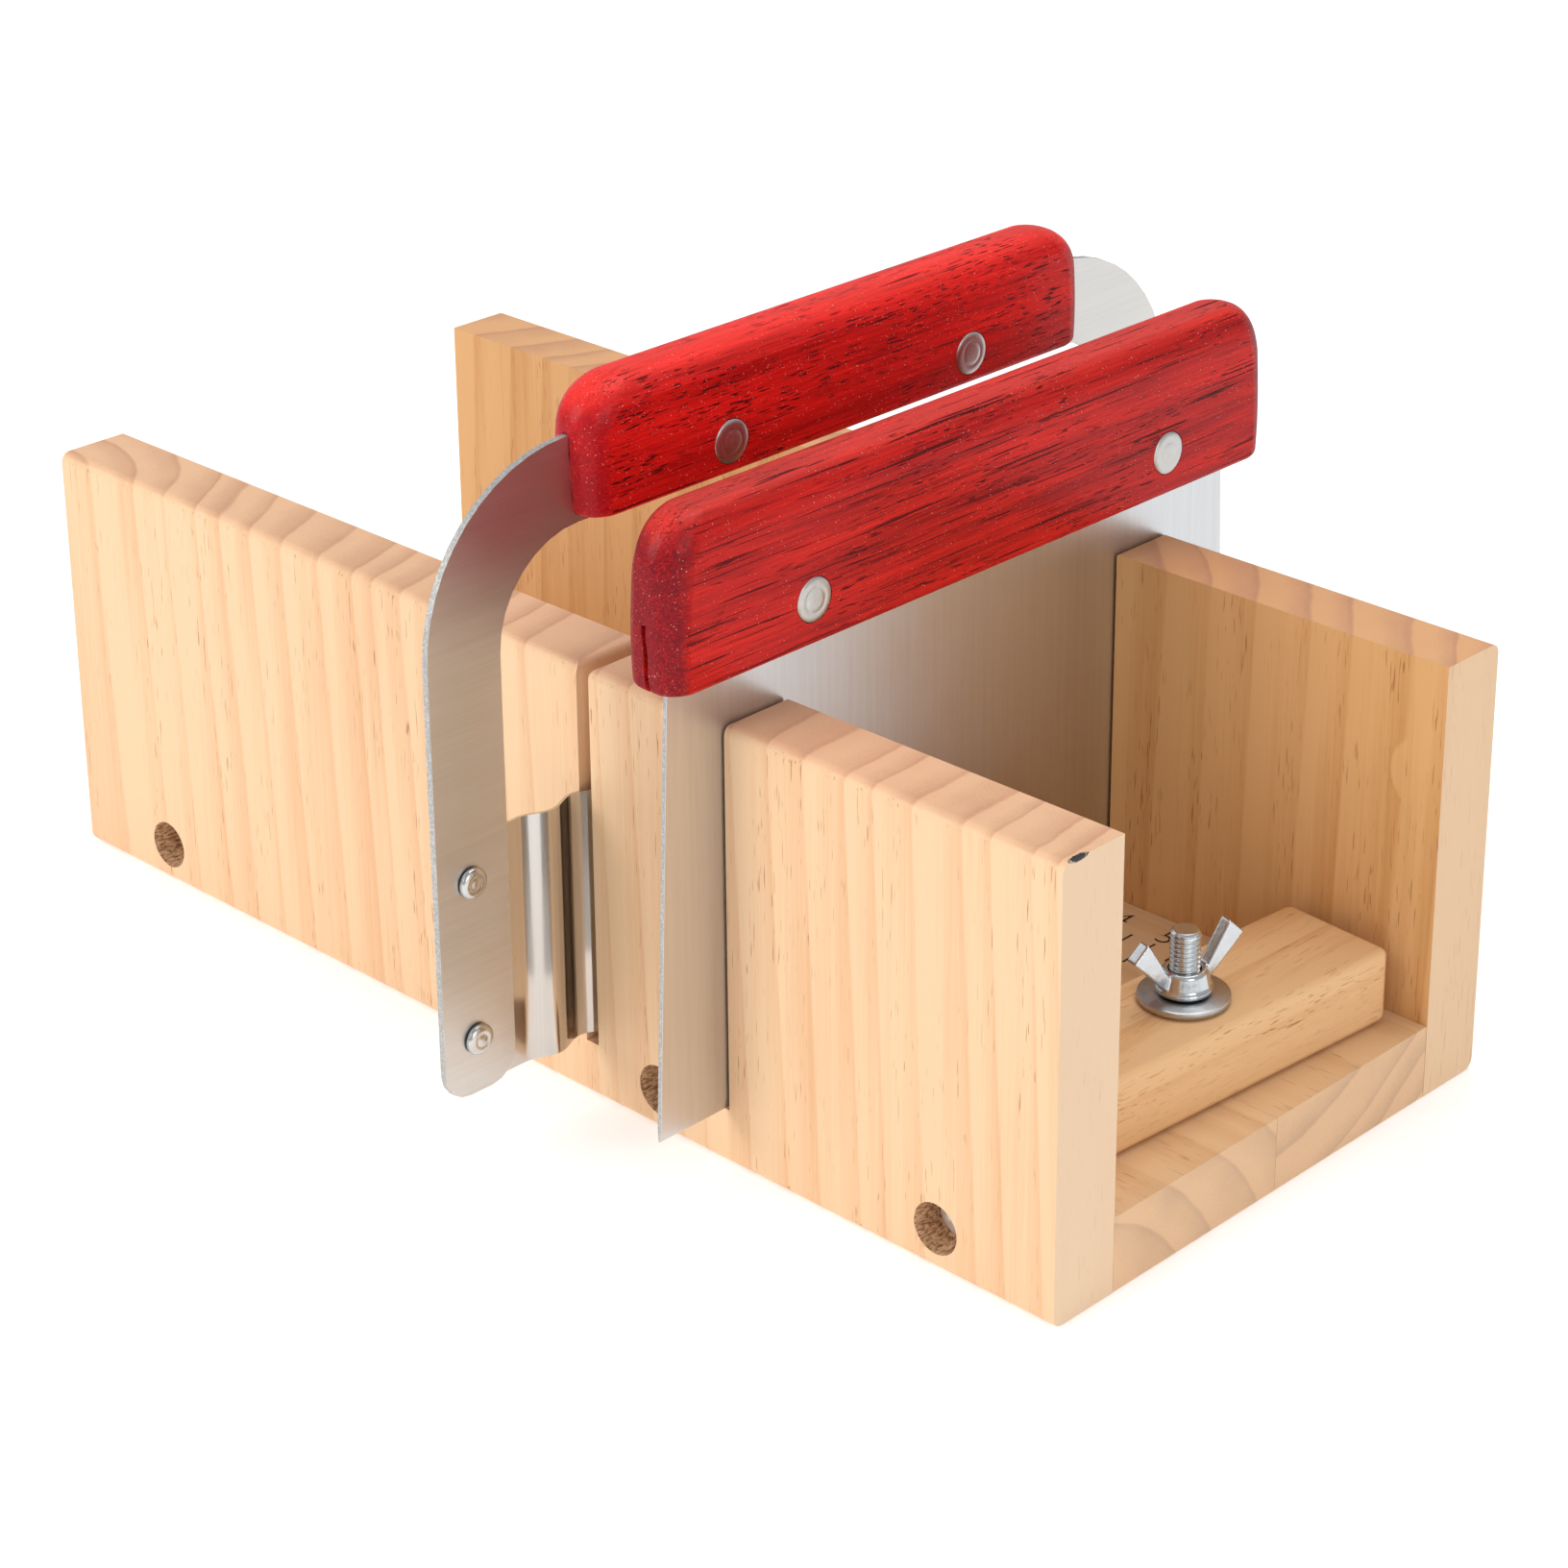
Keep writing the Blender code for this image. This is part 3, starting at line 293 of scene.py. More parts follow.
def pine(name, grain, pith, ring, tilt=0.0, waver=7.0, pale=PINE_PALE, dark=PINE_DARK, end_grain=PINE_END,
         contrast=1.0, dashes=1.0, sawn_off=0.0, seed=0.0, knot=None, stain=None):
    """Sawn softwood: growth rings round a pith line along the grain, fibres, resin dashes, end grain.

    grain is the axis of the fibres, pith the two other coordinates of the heart in millimetres,
    ring the width of a year in millimetres, tilt how far the heart leans per millimetre of grain and
    waver how far the rings stray. sawn_off pales the two ends of the box, knot holds a swirl's two
    coordinates and its size, and stain a dark pencil stroke's middle and half lengths, all of them in
    millimetres.
    """
    wood = Finish(name, Specular_IOR_Level=0.3)
    shift = (seed, seed * 1.7, seed * 2.3)
    side, other = (axis for axis in range(3) if axis != grain)
    place = [part / MM for part in wood.parts(wood.place)]
    normal = wood.parts(wood.normal)

    # Distance from the heart, which strays along the grain and swirls round a knot
    stray = wood.noise(along(grain, 700, 45), shift, 1.0)
    ripple = wood.noise(along(grain, 160, 6), shift, 2.0)
    u = place[side] - pith[0] - place[grain] * tilt
    v = place[other] - pith[1]
    radius = (u * u + v * v).power(0.5) + (stray - 0.5) * (2.0 * waver) + (ripple - 0.5) * (0.2 * waver)
    if knot:
        across, up = place[side] - knot[0], place[grain] - knot[1]
        near = 1.0 - ((across * across * 2.2 + up * up).power(0.5) / knot[2]).rise(0.0, 1.0)
        radius = radius + near * ring * 0.45

    # Years of uneven width: late wood that darkens slowly, and a thin line that ends it sharply
    uneven = wood.add("ShaderNodeTexNoise", {"noise_dimensions": "1D"},
                      {"W": radius / (ring * 2.6) + seed, "Scale": 1.0})
    phase = (radius / ring + (uneven - 0.5) * 1.5).fraction()
    late = phase.rise(0.15, 0.90) * (1.0 - phase.rise(0.91, 1.0))
    line = phase.rise(0.76, 0.90) * (1.0 - phase.rise(0.91, 0.98))

    # Long grain
    fibre = wood.noise(along(grain, 30, 0.40), shift, 3.0, 0.6)
    streak = wood.noise(along(grain, 120, 2.6), shift, 2.0)
    broad = wood.noise(along(grain, 90, 13), shift, 1.0)
    face = 1.0 - abs(normal[side]) * 0.45
    tone = late * 0.40 + line * 0.16 + (streak - 0.5) * 0.9 + (fibre - 0.5) * 0.8 + (broad - 0.5) * 1.0
    colour = (tone * face * contrast).blend(pale, dark)

    # Ends of the box, and short resin dashes everywhere else
    ends = abs(normal[grain]).rise(0.55, 0.85)
    cut_off = abs(normal[0]) * abs(place[0]).rise(BOX_END - 1.5, BOX_END - 0.5) * sawn_off
    dash = wood.noise(along(grain, 5.5, 0.30), shift, 1.0).rise(0.695 - 0.03 * dashes, 0.76 - 0.03 * dashes)
    patch = wood.noise(along(grain, 45, 7), shift, 1.0).rise(0.42, 0.62) * 0.8 + late * 0.4
    colour = cut_off.blend(colour, PINE_SAWN)
    colour = (dash * patch * (1.0 - ends) * (1.0 - cut_off) * 0.8).blend(colour, RESIN)

    # End grain
    pores = wood.noise((0.32, 0.32, 0.32), shift, 2.0, 0.7)
    cloud = wood.noise((9.0, 9.0, 9.0), shift, 2.0)
    middle_tone = tuple((a + b) * 0.57 for a, b in zip(pale, end_grain))
    sawn = (late * 0.75 + line * 0.3) * contrast + (pores - 0.5) * 0.8 + (cloud - 0.5) * 0.8
    colour = (ends * 0.9).blend(colour, sawn.blend(middle_tone, end_grain))

    if stain:
        off = [(part - centre) / half for part, centre, half in zip(place, *stain)]
        gone = (off[0] * off[0] + off[1] * off[1] + off[2] * off[2]).power(0.5) + (pores - 0.5) * 1.2
        colour = (1.0 - gone.rise(0.75, 1.0)).blend(colour, PENCIL)
    relief = fibre * 0.6 - dash * patch * 0.8 + pores * ends * 0.8
    wood.set(Base_Color=colour, Roughness=0.55 + (fibre - 0.5) * 0.25,
             Normal=wood.bump(relief, 0.05 * MM, 0.6))
    return wood.material


def scorched(name):
    """The walls of a drilled hole: torn fibres, in browns darker than the board, as painted shade of the deep
    hole.
    """
    wood = Finish(name, Specular_IOR_Level=0.25, Roughness=0.75)
    torn = wood.noise((0.45, 1.4, 0.45), detail=4.0, rough=0.75)
    wood.set(Base_Color=torn.rise(0.34, 0.62).blend((0.24, 0.10, 0.042), (0.86, 0.56, 0.33)),
             Normal=wood.bump(torn, 0.35 * MM))
    return wood.material


def red_wood(name, seed, deep, lit, end, cracks, dots):
    """Coarse-pored wood under a red stain and a thin satin lacquer; the grain runs along Y.

    deep and lit are the stain's two tones, end is that of the end grain, and cracks and dots say how
    many long and short pores show.
    """
    wood = Finish(name, Coat_Roughness=0.22, Coat_IOR=1.5, Specular_IOR_Level=0.08)
    shift = (seed, seed * 2.1, seed * 0.7)
    tilt = (math.radians(3.0), 0.0, 0.0)
    normal = wood.parts(wood.normal)
    ends = abs(normal[1]).rise(0.10, 0.50) * (1.0 - normal[2].rise(0.25, 0.85) * 0.8)
    # faces turned up, the crown, which get painted light: a lighter stain tone and a painted highlight
    crown = normal[2].rise(0.35, 0.9)

    # Stain, taken up unevenly by the bands and fibres of the wood, and painted lighter on faces turned up as
    # painted top light
    band = wood.noise((3.0, 46, 3.0), shift, 3.0, 0.55, tilt)
    fibre = wood.noise((0.40, 18, 0.40), shift, 3.0, 0.6, tilt)
    colour = ((band - 0.5) * 1.7 + (fibre - 0.5) * 1.5 + crown * 0.25 + 0.45).blend(deep, lit)

    # Open pores, short ones in patches and long ones alone
    pore = wood.noise((0.30, 3.2, 0.30), shift, 1.0, 0.4, tilt).rise(0.66 - 0.06 * dots, 0.71 - 0.05 * dots)
    crack = wood.noise((0.9, 26, 0.36), shift, 2.0, 0.5, tilt).rise(0.69 - 0.08 * cracks,
                                                                    0.745 - 0.08 * cracks)
    patch = wood.noise((4, 20, 5), shift, 2.0).rise(0.40, 0.60)
    dark = (pore * (patch * 0.85 + 0.15)).most(crack) * (1.0 - ends)
    colour = (dark * 0.88).blend(colour, RED_PORE)

    # Mottled end grain, a painted highlight along the crown, and specks of dust in the lacquer
    mottle = wood.noise((0.40, 0.8, 0.40), shift, 3.0, 0.75)
    colour = (ends * (mottle.rise(0.30, 0.62) * 0.7 + 0.3)).blend(colour, end)
    colour = (crown * (1.0 - dark) * 0.10).blend(colour, RED_PAINTED_HIGHLIGHT)
    dust = wood.noise((0.24, 0.30, 0.24), (seed + 7.0, 3.0, 5.0), 0.0)
    colour = (dust.rise(0.785, 0.83) * 0.75).blend(colour, WOOD_DUST)
    relief = fibre * 0.4 - dark * 1.3 + mottle * ends * 1.6 + dust * 0.5
    wood.set(Base_Color=colour, Roughness=0.44 + ends * 0.10 + (fibre - 0.5) * 0.2,
             Coat_Weight=0.17 - dark * 0.15, Normal=wood.bump(relief, 0.06 * MM, 0.8))
    return wood.material


def brushed(name, colour, roughness, grain, seed, depth, rim=None):
    """Satin sheet: fine scratches along the grain axis.

    depth is the scratches' strength, and rim the axis across the sheet, if its sheared rim is torn.
    """
    metal = Finish(name, Metallic=1.0)
    shift = (seed, seed, seed)
    hair = metal.noise(along(grain, 14, 0.16), shift, 3.0, 0.7)
    streak = metal.noise(along(grain, 60, 1.1), shift, 2.0)
    cloud = metal.noise((14, 14, 14), shift, 2.0)
    tone = (hair - 0.5) * 0.8 + (streak - 0.5) * 0.5 + 0.5
    base = tone.blend(scaled(colour, 0.86), scaled(colour, 1.12))
    gloss = roughness + (hair - 0.5) * 0.18 + (cloud - 0.5) * 0.10
    relief = hair
    if rim is not None:
        edge = 1.0 - abs(metal.parts(metal.normal)[rim]).rise(0.35, 0.75)
        torn = metal.noise((0.45, 0.45, 0.45), shift, 3.0, 0.7)
        base = (edge * torn.rise(0.25, 0.65)).blend(base, TORN_RIM)
        gloss = gloss + edge * 0.25
        relief = hair + edge * torn * 9.0
    metal.set(Base_Color=base, Roughness=gloss, Normal=metal.bump(relief, 0.012 * MM, depth))
    return metal.material


def plated(name, colour, roughness, seed, scratch, metallic=1.0):
    """Plated or cast hardware: a little uneven, with small dents and handling marks."""
    metal = Finish(name, Metallic=metallic)
    shift = (seed, seed, seed)
    fine = metal.noise((0.5, 0.5, 0.5), shift, 3.0, 0.6)
    dents = metal.noise((1.6, 1.6, 1.6), shift, 2.0)
    marks = metal.noise((0.15, 2.5, 0.8), shift, 2.0, turn=(0.4, 0.6, 0.5)).rise(0.60, 0.72)
    base = ((dents - 0.5) * 0.8 + 0.5).blend(scaled(colour, 0.80), colour)
    metal.set(Base_Color=(marks * scratch * 0.5).blend(base, scaled(colour, 0.62)),
              Roughness=roughness + (fine - 0.5) * 0.20 + marks * scratch * 0.15,
              Normal=metal.bump(dents * 1.5 + fine * 0.35, 0.05 * MM, 0.5))
    return metal.material


def burnt_line(name):
    """Charred wood, of the ruler's marks."""
    wood = Finish(name, Specular_IOR_Level=0.2, Roughness=0.8)
    char = wood.noise((0.4, 0.4, 0.4), detail=3.0)
    wood.set(Base_Color=char.rise(0.35, 0.7).blend((0.025, 0.009, 0.006), (0.10, 0.036, 0.020)))
    return wood.material


def studio_paper(name):
    """White paper that glows a little, so that it stays pale right up to the horizon."""
    paper = Finish(name, Base_Color=(0.92, 0.92, 0.92), Roughness=0.9, Specular_IOR_Level=0.1,
                   Emission_Color=(1.0, 1.0, 1.0), Emission_Strength=0.32)
    return paper.material


STAVE_LOOK = {"waver": 5.0, "dark": (0.62, 0.345, 0.16), "end_grain": (0.52, 0.33, 0.21), "contrast": 0.65}
PINE_NEAR = pine("near board pine", 2, (-116.0, -75.0), 7.5, tilt=-0.045, waver=5.0, sawn_off=0.6, seed=1.3,
                 contrast=0.8, stain=((117.3, -51.7, 76.9), (0.7, 2.3, 0.6)))
# Darker and more orange than the near board: painted shade, for the shade inside the box on its inner face;
# it colours the whole board
PINE_FAR = pine("far board pine", 2, (10.0, -12.0), 8.5, tilt=0.04, waver=6.0, seed=6.1,
                pale=(0.76, 0.435, 0.185), dark=(0.58, 0.265, 0.08), end_grain=(0.56, 0.285, 0.165),
                contrast=0.85, dashes=1.6, sawn_off=0.6, knot=(109.5, 57.0, 6.0))
PINE_STAVE_NEAR = pine("near stave pine", 0, (-62.0, -30.0), 9.0, seed=3.7, pale=(0.78, 0.515, 0.29),
                       **STAVE_LOOK)
PINE_STAVE_FAR = pine("far stave pine", 0, (-8.0, 70.0), 8.0, seed=9.2, pale=(0.77, 0.505, 0.28),
                      **STAVE_LOOK)
STOP_WOOD = pine("stop block pine", 1, (210.0, -120.0), 7.0, tilt=0.05, waver=4.0, seed=4.4,
                 pale=(0.81, 0.505, 0.255), dark=(0.64, 0.31, 0.115), dashes=2.3)
# bore walls darkened as painted shade of the deep holes
BORE_PAINTED_SHADE = scorched("scorched bore")
RED_STRAIGHT = red_wood("red stained wood, straight cutter", 2.0, (0.28, 0.004, 0.005), (0.73, 0.016, 0.010),
                        (0.16, 0.003, 0.010), 1.0, 0.3)
# Brighter tones than the straight cutter's: mostly painted light, making up for the light that the wavy grip
# misses behind the straight one
RED_WAVY = red_wood("red stained wood, wavy cutter", 8.5, (0.44, 0.005, 0.005), (1.0, 0.018, 0.014),
                    (0.36, 0.006, 0.012), 0.2, 1.0)
BLADE_STEEL = brushed("brushed blade steel", (0.63, 0.64, 0.655), 0.34, 2, seed=1.0, depth=0.5, rim=0)
BOW_STEEL = brushed("satin bow steel", (0.65, 0.64, 0.62), 0.38, 1, seed=5.0, depth=0.2, rim=0)
WAVE_STEEL = brushed("polished wave steel", (0.62, 0.60, 0.575), 0.13, 2, seed=3.0, depth=0.12)
RIVET_METAL = plated("rivet aluminium", (0.62, 0.61, 0.59), 0.36, 1.0, 0.3)
ARM_RIVET_METAL = plated("arm rivet steel", (0.66, 0.66, 0.65), 0.22, 2.0, 0.4)
ZINC = plated("bright zinc", (0.67, 0.70, 0.72), 0.20, 3.0, 0.35)
DULL_ZINC = plated("dull zinc washer", (0.52, 0.53, 0.54), 0.34, 4.0, 0.6)
# Half metallic on a pale base, so that the heads look lighter down their holes: painted light, standing in
# for the highlight they catch
SCREW_STEEL = plated("screw steel", (0.92, 0.88, 0.82), 0.40, 5.0, 0.4, metallic=0.6)
BURNT = burnt_line("burnt ruler line")


# Meshes

def middle(node):
    """The middle of a CAD node's box."""
    return sum(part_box(node), Vector()) / 2


def new_object(name, mesh):
    """An object in the scene, at the origin."""
    item = bpy.data.objects.new(name, mesh)
    bpy.context.scene.collection.objects.link(item)
    return item


def piece(name, mesh, body, replaced):
    """A finished piece: it rides on a body and stands for the CAD nodes it replaces, which it hides."""
    item = new_object(name, mesh)
    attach(item, body)
    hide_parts(*replaced)


def shaded(mesh, sharp):
    """The mesh with smooth shading, apart from edges sharper than so many degrees."""
    mesh.shade_smooth()
    mesh.set_sharp_from_angle(angle=math.radians(sharp))
    return mesh


def to_mesh(name, bm, material=None, sharp=None):
    """The finished mesh of a bmesh: flat shaded where no sharp angle is given."""
    mesh = bpy.data.meshes.new(name)
    bm.to_mesh(mesh)
    bm.free()
    if material:
        mesh.materials.append(material)
    return shaded(mesh, sharp) if sharp else mesh


def evaluated(item):
    """The object's mesh with its modifiers applied, as a plain mesh; the object is removed."""
    bpy.context.view_layer.update()
    graph = bpy.context.evaluated_depsgraph_get()
    mesh = bpy.data.meshes.new_from_object(item.evaluated_get(graph), preserve_all_data_layers=True,
                                           depsgraph=graph)
    bpy.data.objects.remove(item, do_unlink=True)
    return mesh


def shaped(name, mesh, cutters, easing, sharp=28.0):
    """The mesh cut by the cutter meshes, with edges over so many degrees rounded by a small easing."""
    item = new_object(name, mesh)
    helpers = [new_object(name + "_cut", cutter) for cutter in cutters]
    for helper in helpers:
        cut = item.modifiers.new("cut", "BOOLEAN")
        cut.operation = "DIFFERENCE"
        cut.solver = "EXACT"
        cut.material_mode = "TRANSFER"
        cut.object = helper
    ease = item.modifiers.new("ease", "BEVEL")
    ease.width = easing
    ease.segments = 2
    ease.limit_method = "ANGLE"
    ease.angle_limit = math.radians(sharp)
    ease.harden_normals = True
    clean = item.modifiers.new("clean", "WELD")
    clean.merge_threshold = SLIVER
    even = item.modifiers.new("even", "WEIGHTED_NORMAL")
    even.keep_sharp = True
    done = evaluated(item)
    for helper in helpers:
        bpy.data.objects.remove(helper, do_unlink=True)
    return done


def box_bm(low, high):
    """A box between two corners."""
    low, high = Vector(low), Vector(high)
    bm = bmesh.new()
    bmesh.ops.create_cube(bm, size=1.0)
    bmesh.ops.scale(bm, vec=high - low, verts=bm.verts)
    bmesh.ops.translate(bm, vec=(low + high) / 2, verts=bm.verts)
    return bm


def arc(centre, radius, start, end, steps):
    """Points on a circle from one angle to another, in degrees."""
    turns = [math.radians(start + (end - start) * i / steps) for i in range(steps + 1)]
    return [(centre[0] + radius * math.cos(t), centre[1] + radius * math.sin(t)) for t in turns]


def prism_bm(outline, low, high, axis):
    """An outline carried along an axis; its points are the two other coordinates, in order."""
    def at(u, v, w):
        point = [u, v]
        point.insert(axis, w)
        return point

    bm = bmesh.new()
    face = bm.faces.new([bm.verts.new(at(u, v, low)) for u, v in outline])
    made = bmesh.ops.extrude_face_region(bm, geom=[face])
    moved = [item for item in made["geom"] if isinstance(item, bmesh.types.BMVert)]
    bmesh.ops.translate(bm, vec=at(0.0, 0.0, high - low), verts=moved)
    bmesh.ops.recalc_face_normals(bm, faces=bm.faces)
    return bm


def turned_bm(profile, steps, matrix=None, ring=False):
    """A solid turned about Z from (radius, z) points, which run from axis to axis or once round a ring."""
    bm = bmesh.new()
    levels = []
    for radius, z in profile:
        spots = arc((0.0, 0.0), radius, 0.0, 360.0, steps)[:-1] if radius else [(0.0, 0.0)]
        levels.append([bm.verts.new((x, y, z)) for x, y in spots])
    for upper, lower in zip(levels, levels[1:] + (levels[:1] if ring else [])):
        for i in range(steps):
            j = (i + 1) % steps
            corners = [upper[i % len(upper)], upper[j % len(upper)], lower[j % len(lower)],
                       lower[i % len(lower)]]
            bm.faces.new(list(dict.fromkeys(corners)))
    bmesh.ops.recalc_face_normals(bm, faces=bm.faces)
    if matrix:
        bm.transform(matrix)
    return bm


def joined(bms, meshes):
    """One bmesh of several bmeshes and meshes, all in the first material."""
    whole = bmesh.new()
    for mesh in [to_mesh("part", bm) for bm in bms] + meshes:
        whole.from_mesh(mesh)
        bpy.data.meshes.remove(mesh)
    for face in whole.faces:
        face.material_index = 0
    return whole


def from_cad(node):
    """A node's shape with its loose triangles merged and its flat faces made whole."""
    bm = bmesh.new()
    bm.from_mesh(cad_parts[node].data)
    bmesh.ops.remove_doubles(bm, verts=bm.verts, dist=0.005 * MM)
    bmesh.ops.dissolve_limit(bm, angle_limit=math.radians(0.6), verts=bm.verts, edges=bm.edges)
    bm.verts.index_update()
    points = [vert.co.copy() for vert in bm.verts]
    faces = [[vert.index for vert in face.verts] for face in bm.faces]
    bm.free()
    bare = bpy.data.meshes.new("bare")
    bare.from_pydata(points, [], faces)
    return bare


# Trees of Geometry Nodes

class Maker(Tree):
    """A Geometry Nodes tree with named inputs that works on the modified object's own points."""

    def __init__(self, name, **inputs):
        group = bpy.data.node_groups.new(name, "GeometryNodeTree")
        super().__init__(group)
        group.interface.new_socket("Geometry", in_out="INPUT", socket_type="NodeSocketGeometry")
        self.names = {}
        for label, kind in inputs.items():
            socket = group.interface.new_socket(label, in_out="INPUT", socket_type="NodeSocket" + kind)
            self.names[label] = socket.identifier
        group.interface.new_socket("Geometry", in_out="OUTPUT", socket_type="NodeSocketGeometry")
        self.given = group.nodes.new("NodeGroupInput")
        self.result = group.nodes.new("NodeGroupOutput")

    def value(self, label):
        return Value(self, self.given.outputs[label])

    def grid(self, **sides):
        """A flat grid, and the X and Y of each of its points."""
        mesh = self.add("GeometryNodeMeshGrid", None,
                        {label.replace("_", " "): side for label, side in sides.items()}, out="Mesh")
        return mesh, self.parts(self.add("GeometryNodeInputPosition"))[:2]

    def placed(self, geometry, *parts):
        """The geometry with each point moved to the place of three numbers."""
        return self.add("GeometryNodeSetPosition", None,
                        {"Geometry": geometry, "Position": self.vector(*parts)})

    def end(self, geometry):
        """Real geometry with the asked material, as the tree's result."""
        real = self.add("GeometryNodeRealizeInstances", None, {"Geometry": geometry})
        dressed = self.add("GeometryNodeSetMaterial", None,
                           {"Geometry": real, "Material": self.value("Material")})
        self.feed(self.result.inputs[0], dressed)

    def make(self, name, points=(), after=None, **values):
        """Runs the tree on some points with the given inputs, and returns the mesh."""
        mesh = bpy.data.meshes.new(name)
        mesh.from_pydata([tuple(point) for point in points], [], [])
        item = new_object(name, mesh)
        nodes = item.modifiers.new("nodes", "NODES")
        nodes.node_group = self.group
        for label, value in values.items():
            nodes[self.names[label]] = value
        if after:
            after(item)
        return evaluated(item)


def copies_tree():
    """Copies of one object on the points of the mesh."""
    maker = Maker("copies on points", What="Object", Material="Material")
    shape = maker.add("GeometryNodeObjectInfo", None, {"Object": maker.value("What")}, out="Geometry")
    maker.end(maker.add("GeometryNodeInstanceOnPoints", None,
                        {"Points": maker.value("Geometry"), "Instance": shape}))
    return maker


def wave_tree():
    """A corrugated sheet: an upright grid whose every point is pushed out by a cosine of its place."""
    maker = Maker("corrugated sheet", Width="Float", Height="Float", Half="Float", Waves="Float",
                  Rise="Float", Stations="Int", Material="Material")
    grid, (along_y, up) = maker.grid(Size_X=maker.value("Width"), Size_Y=maker.value("Height"),
                                     Vertices_X=maker.value("Stations"), Vertices_Y=4)
    share = ((along_y / maker.value("Half") + 1.0) * 0.5).most(0.0).least(1.0)
    turn = share * maker.value("Waves") * (2 * math.pi)
    push = (1.0 - turn.cosine()) * 0.5 * maker.value("Rise")
    maker.end(maker.placed(grid, push, along_y, up))
    return maker


def thread_tree():
    """A threaded rod in one skin: rings run up it, over the chamfer and in to the middle of its flat end."""
    maker = Maker("threaded rod", Length="Float", Radius="Float", Depth="Float", Pitch="Float",
                  Chamfer="Float", Rings="Int", Material="Material")
    length, radius = maker.value("Length"), maker.value("Radius")
    grid, (side, level) = maker.grid(Size_X=1.0, Size_Y=1.0, Vertices_X=THREAD_SIDES + 1,
                                     Vertices_Y=maker.value("Rings"))
    around = side + 0.5
    reach = length + radius - maker.value("Chamfer")
    run = (level + 0.5) * reach
    height = run.least(length)
    tooth = abs((height / maker.value("Pitch") - around).fraction() * 2.0 - 1.0)
    wall = radius - maker.value("Depth") * (1.0 - tooth.rise(0.12, 0.88))
    out = wall.least(reach - run)
    angle = around * (2 * math.pi)
    rod = maker.placed(grid, out * angle.cosine(), out * angle.sine(), height)
    maker.end(maker.add("GeometryNodeMergeByDistance", None, {"Geometry": rod, "Distance": 0.002 * MM}))
    return maker


def tick_tree():
    """Ruler marks: a row of thin strips, of which every second one is long."""
    maker = Maker("ruler marks", Count="Int", Step="Float", Short="Float", Long="Float", Line="Float",
                  Skin="Float", Material="Material")
    row = maker.add("GeometryNodeMeshLine", {"mode": "OFFSET"},
                    {"Count": maker.value("Count"), "Offset": maker.vector(maker.value("Step"))})
    odd = maker.add("GeometryNodeInputIndex").remainder(2.0)
    reach = maker.value("Short") + odd * (maker.value("Long") - maker.value("Short"))
    strip = maker.add("GeometryNodeMeshCube", None, {"Size": (1.0, 1.0, 1.0)}, out="Mesh")
    hung = maker.add("GeometryNodeTransform", None, {"Geometry": strip, "Translation": (0.0, -0.5, 0.0)})
    maker.end(maker.add("GeometryNodeInstanceOnPoints", None,
                        {"Points": row, "Instance": hung,
                         "Scale": maker.vector(maker.value("Line"), reach, maker.value("Skin"))}))
    return maker


COPIES = copies_tree()


def copied(name, model_mesh, spots, material):
    """One mesh of copies of a mesh on some spots."""
    model = new_object("model", model_mesh)
    mesh = COPIES.make(name, spots, What=model, Material=material)
    bpy.data.objects.remove(model, do_unlink=True)
    return mesh


# Box

def kerf_cutter(kerf, mouth, top, reach):
    """A saw cut whose mouth is rounded over on both sides."""
    left, right = kerf[0] - kerf[1] / 2, kerf[0] + kerf[1] / 2
    over = top + 2 * mouth
    outline = [(left, KERF_BOTTOM), *arc((left - mouth, top - mouth), mouth, 0, 90, 6),
               (left - mouth, over), (right + mouth, over),
               *arc((right + mouth, top - mouth), mouth, 90, 180, 6), (right, KERF_BOTTOM)]
    return to_mesh("kerf", prism_bm(outline, -reach, reach, 1))


def outward(side):
    """The turn that brings Z to the way a side of the box faces."""
    return Matrix.Rotation(-SIDES[side] * math.pi / 2, 4, "X")


def head_spot(node, side):
    """The middle of a side screw's head, on the outer end of its box."""
    spot = middle(node)
    spot.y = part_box(node)[0 if side == "near" else 1].y
    return spot


def hole_cutter(node, side, face_y):
    """A counterbore over a screw and, under it, the seat of its head, both with dark walls of painted shade.
    """
    mouth, deep = COUNTERBORE[0] / 2, COUNTERBORE[1]
    seat, bottom = SCREW_SEAT[0] / 2, -deep - SCREW_SEAT[1]
    profile = [(0.0, OVERCUT), (mouth, OVERCUT), (mouth, -deep), (seat, -deep), (seat, bottom), (0.0, bottom)]
    spot = middle(node)
    spot.y = face_y
    return to_mesh("hole", turned_bm(profile, 64, Matrix.Translation(spot) @ outward(side)), BORE_PAINTED_SHADE)


def screw_nodes(side):
    """The CAD nodes of one side's screws."""
    return [f"{side}_screw_{place}" for place in ("rear", "middle", "front")]


def side_board(side, material):
    """One side board: planed round its outer edges, sawn for both kerfs and drilled for three screws."""
    node = f"{side}_side_board"
    low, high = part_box(node)
    centre_y = middle(node).y

    def outer(edge):
        a, b = (vert.co for vert in edge.verts)
        runs_along = abs(a.y - b.y) < 1e-7 and abs(a.z - b.z) < 1e-7
        return runs_along and (a.y - centre_y) * SIDES[side] > 0

    bm = box_bm(low, high)
    bmesh.ops.bevel(bm, geom=[edge for edge in bm.edges if outer(edge)], offset=OUTER_EASING, segments=5,
                    profile=0.5, affect="EDGES")
    reach = 2 * abs(low.y)
    face_y = low.y if side == "near" else high.y
    cutters = [kerf_cutter(WAVY_KERF, WAVY_MOUTH, high.z, reach),
               kerf_cutter(STRAIGHT_KERF, STRAIGHT_MOUTH, high.z, reach)]
    cutters += [hole_cutter(screw, side, face_y) for screw in screw_nodes(side)]
    mesh = shaped(node, to_mesh(node, bm, material, 30), cutters, SAWN_EASING)
    piece(f"{side}_board", mesh, "box", [node])


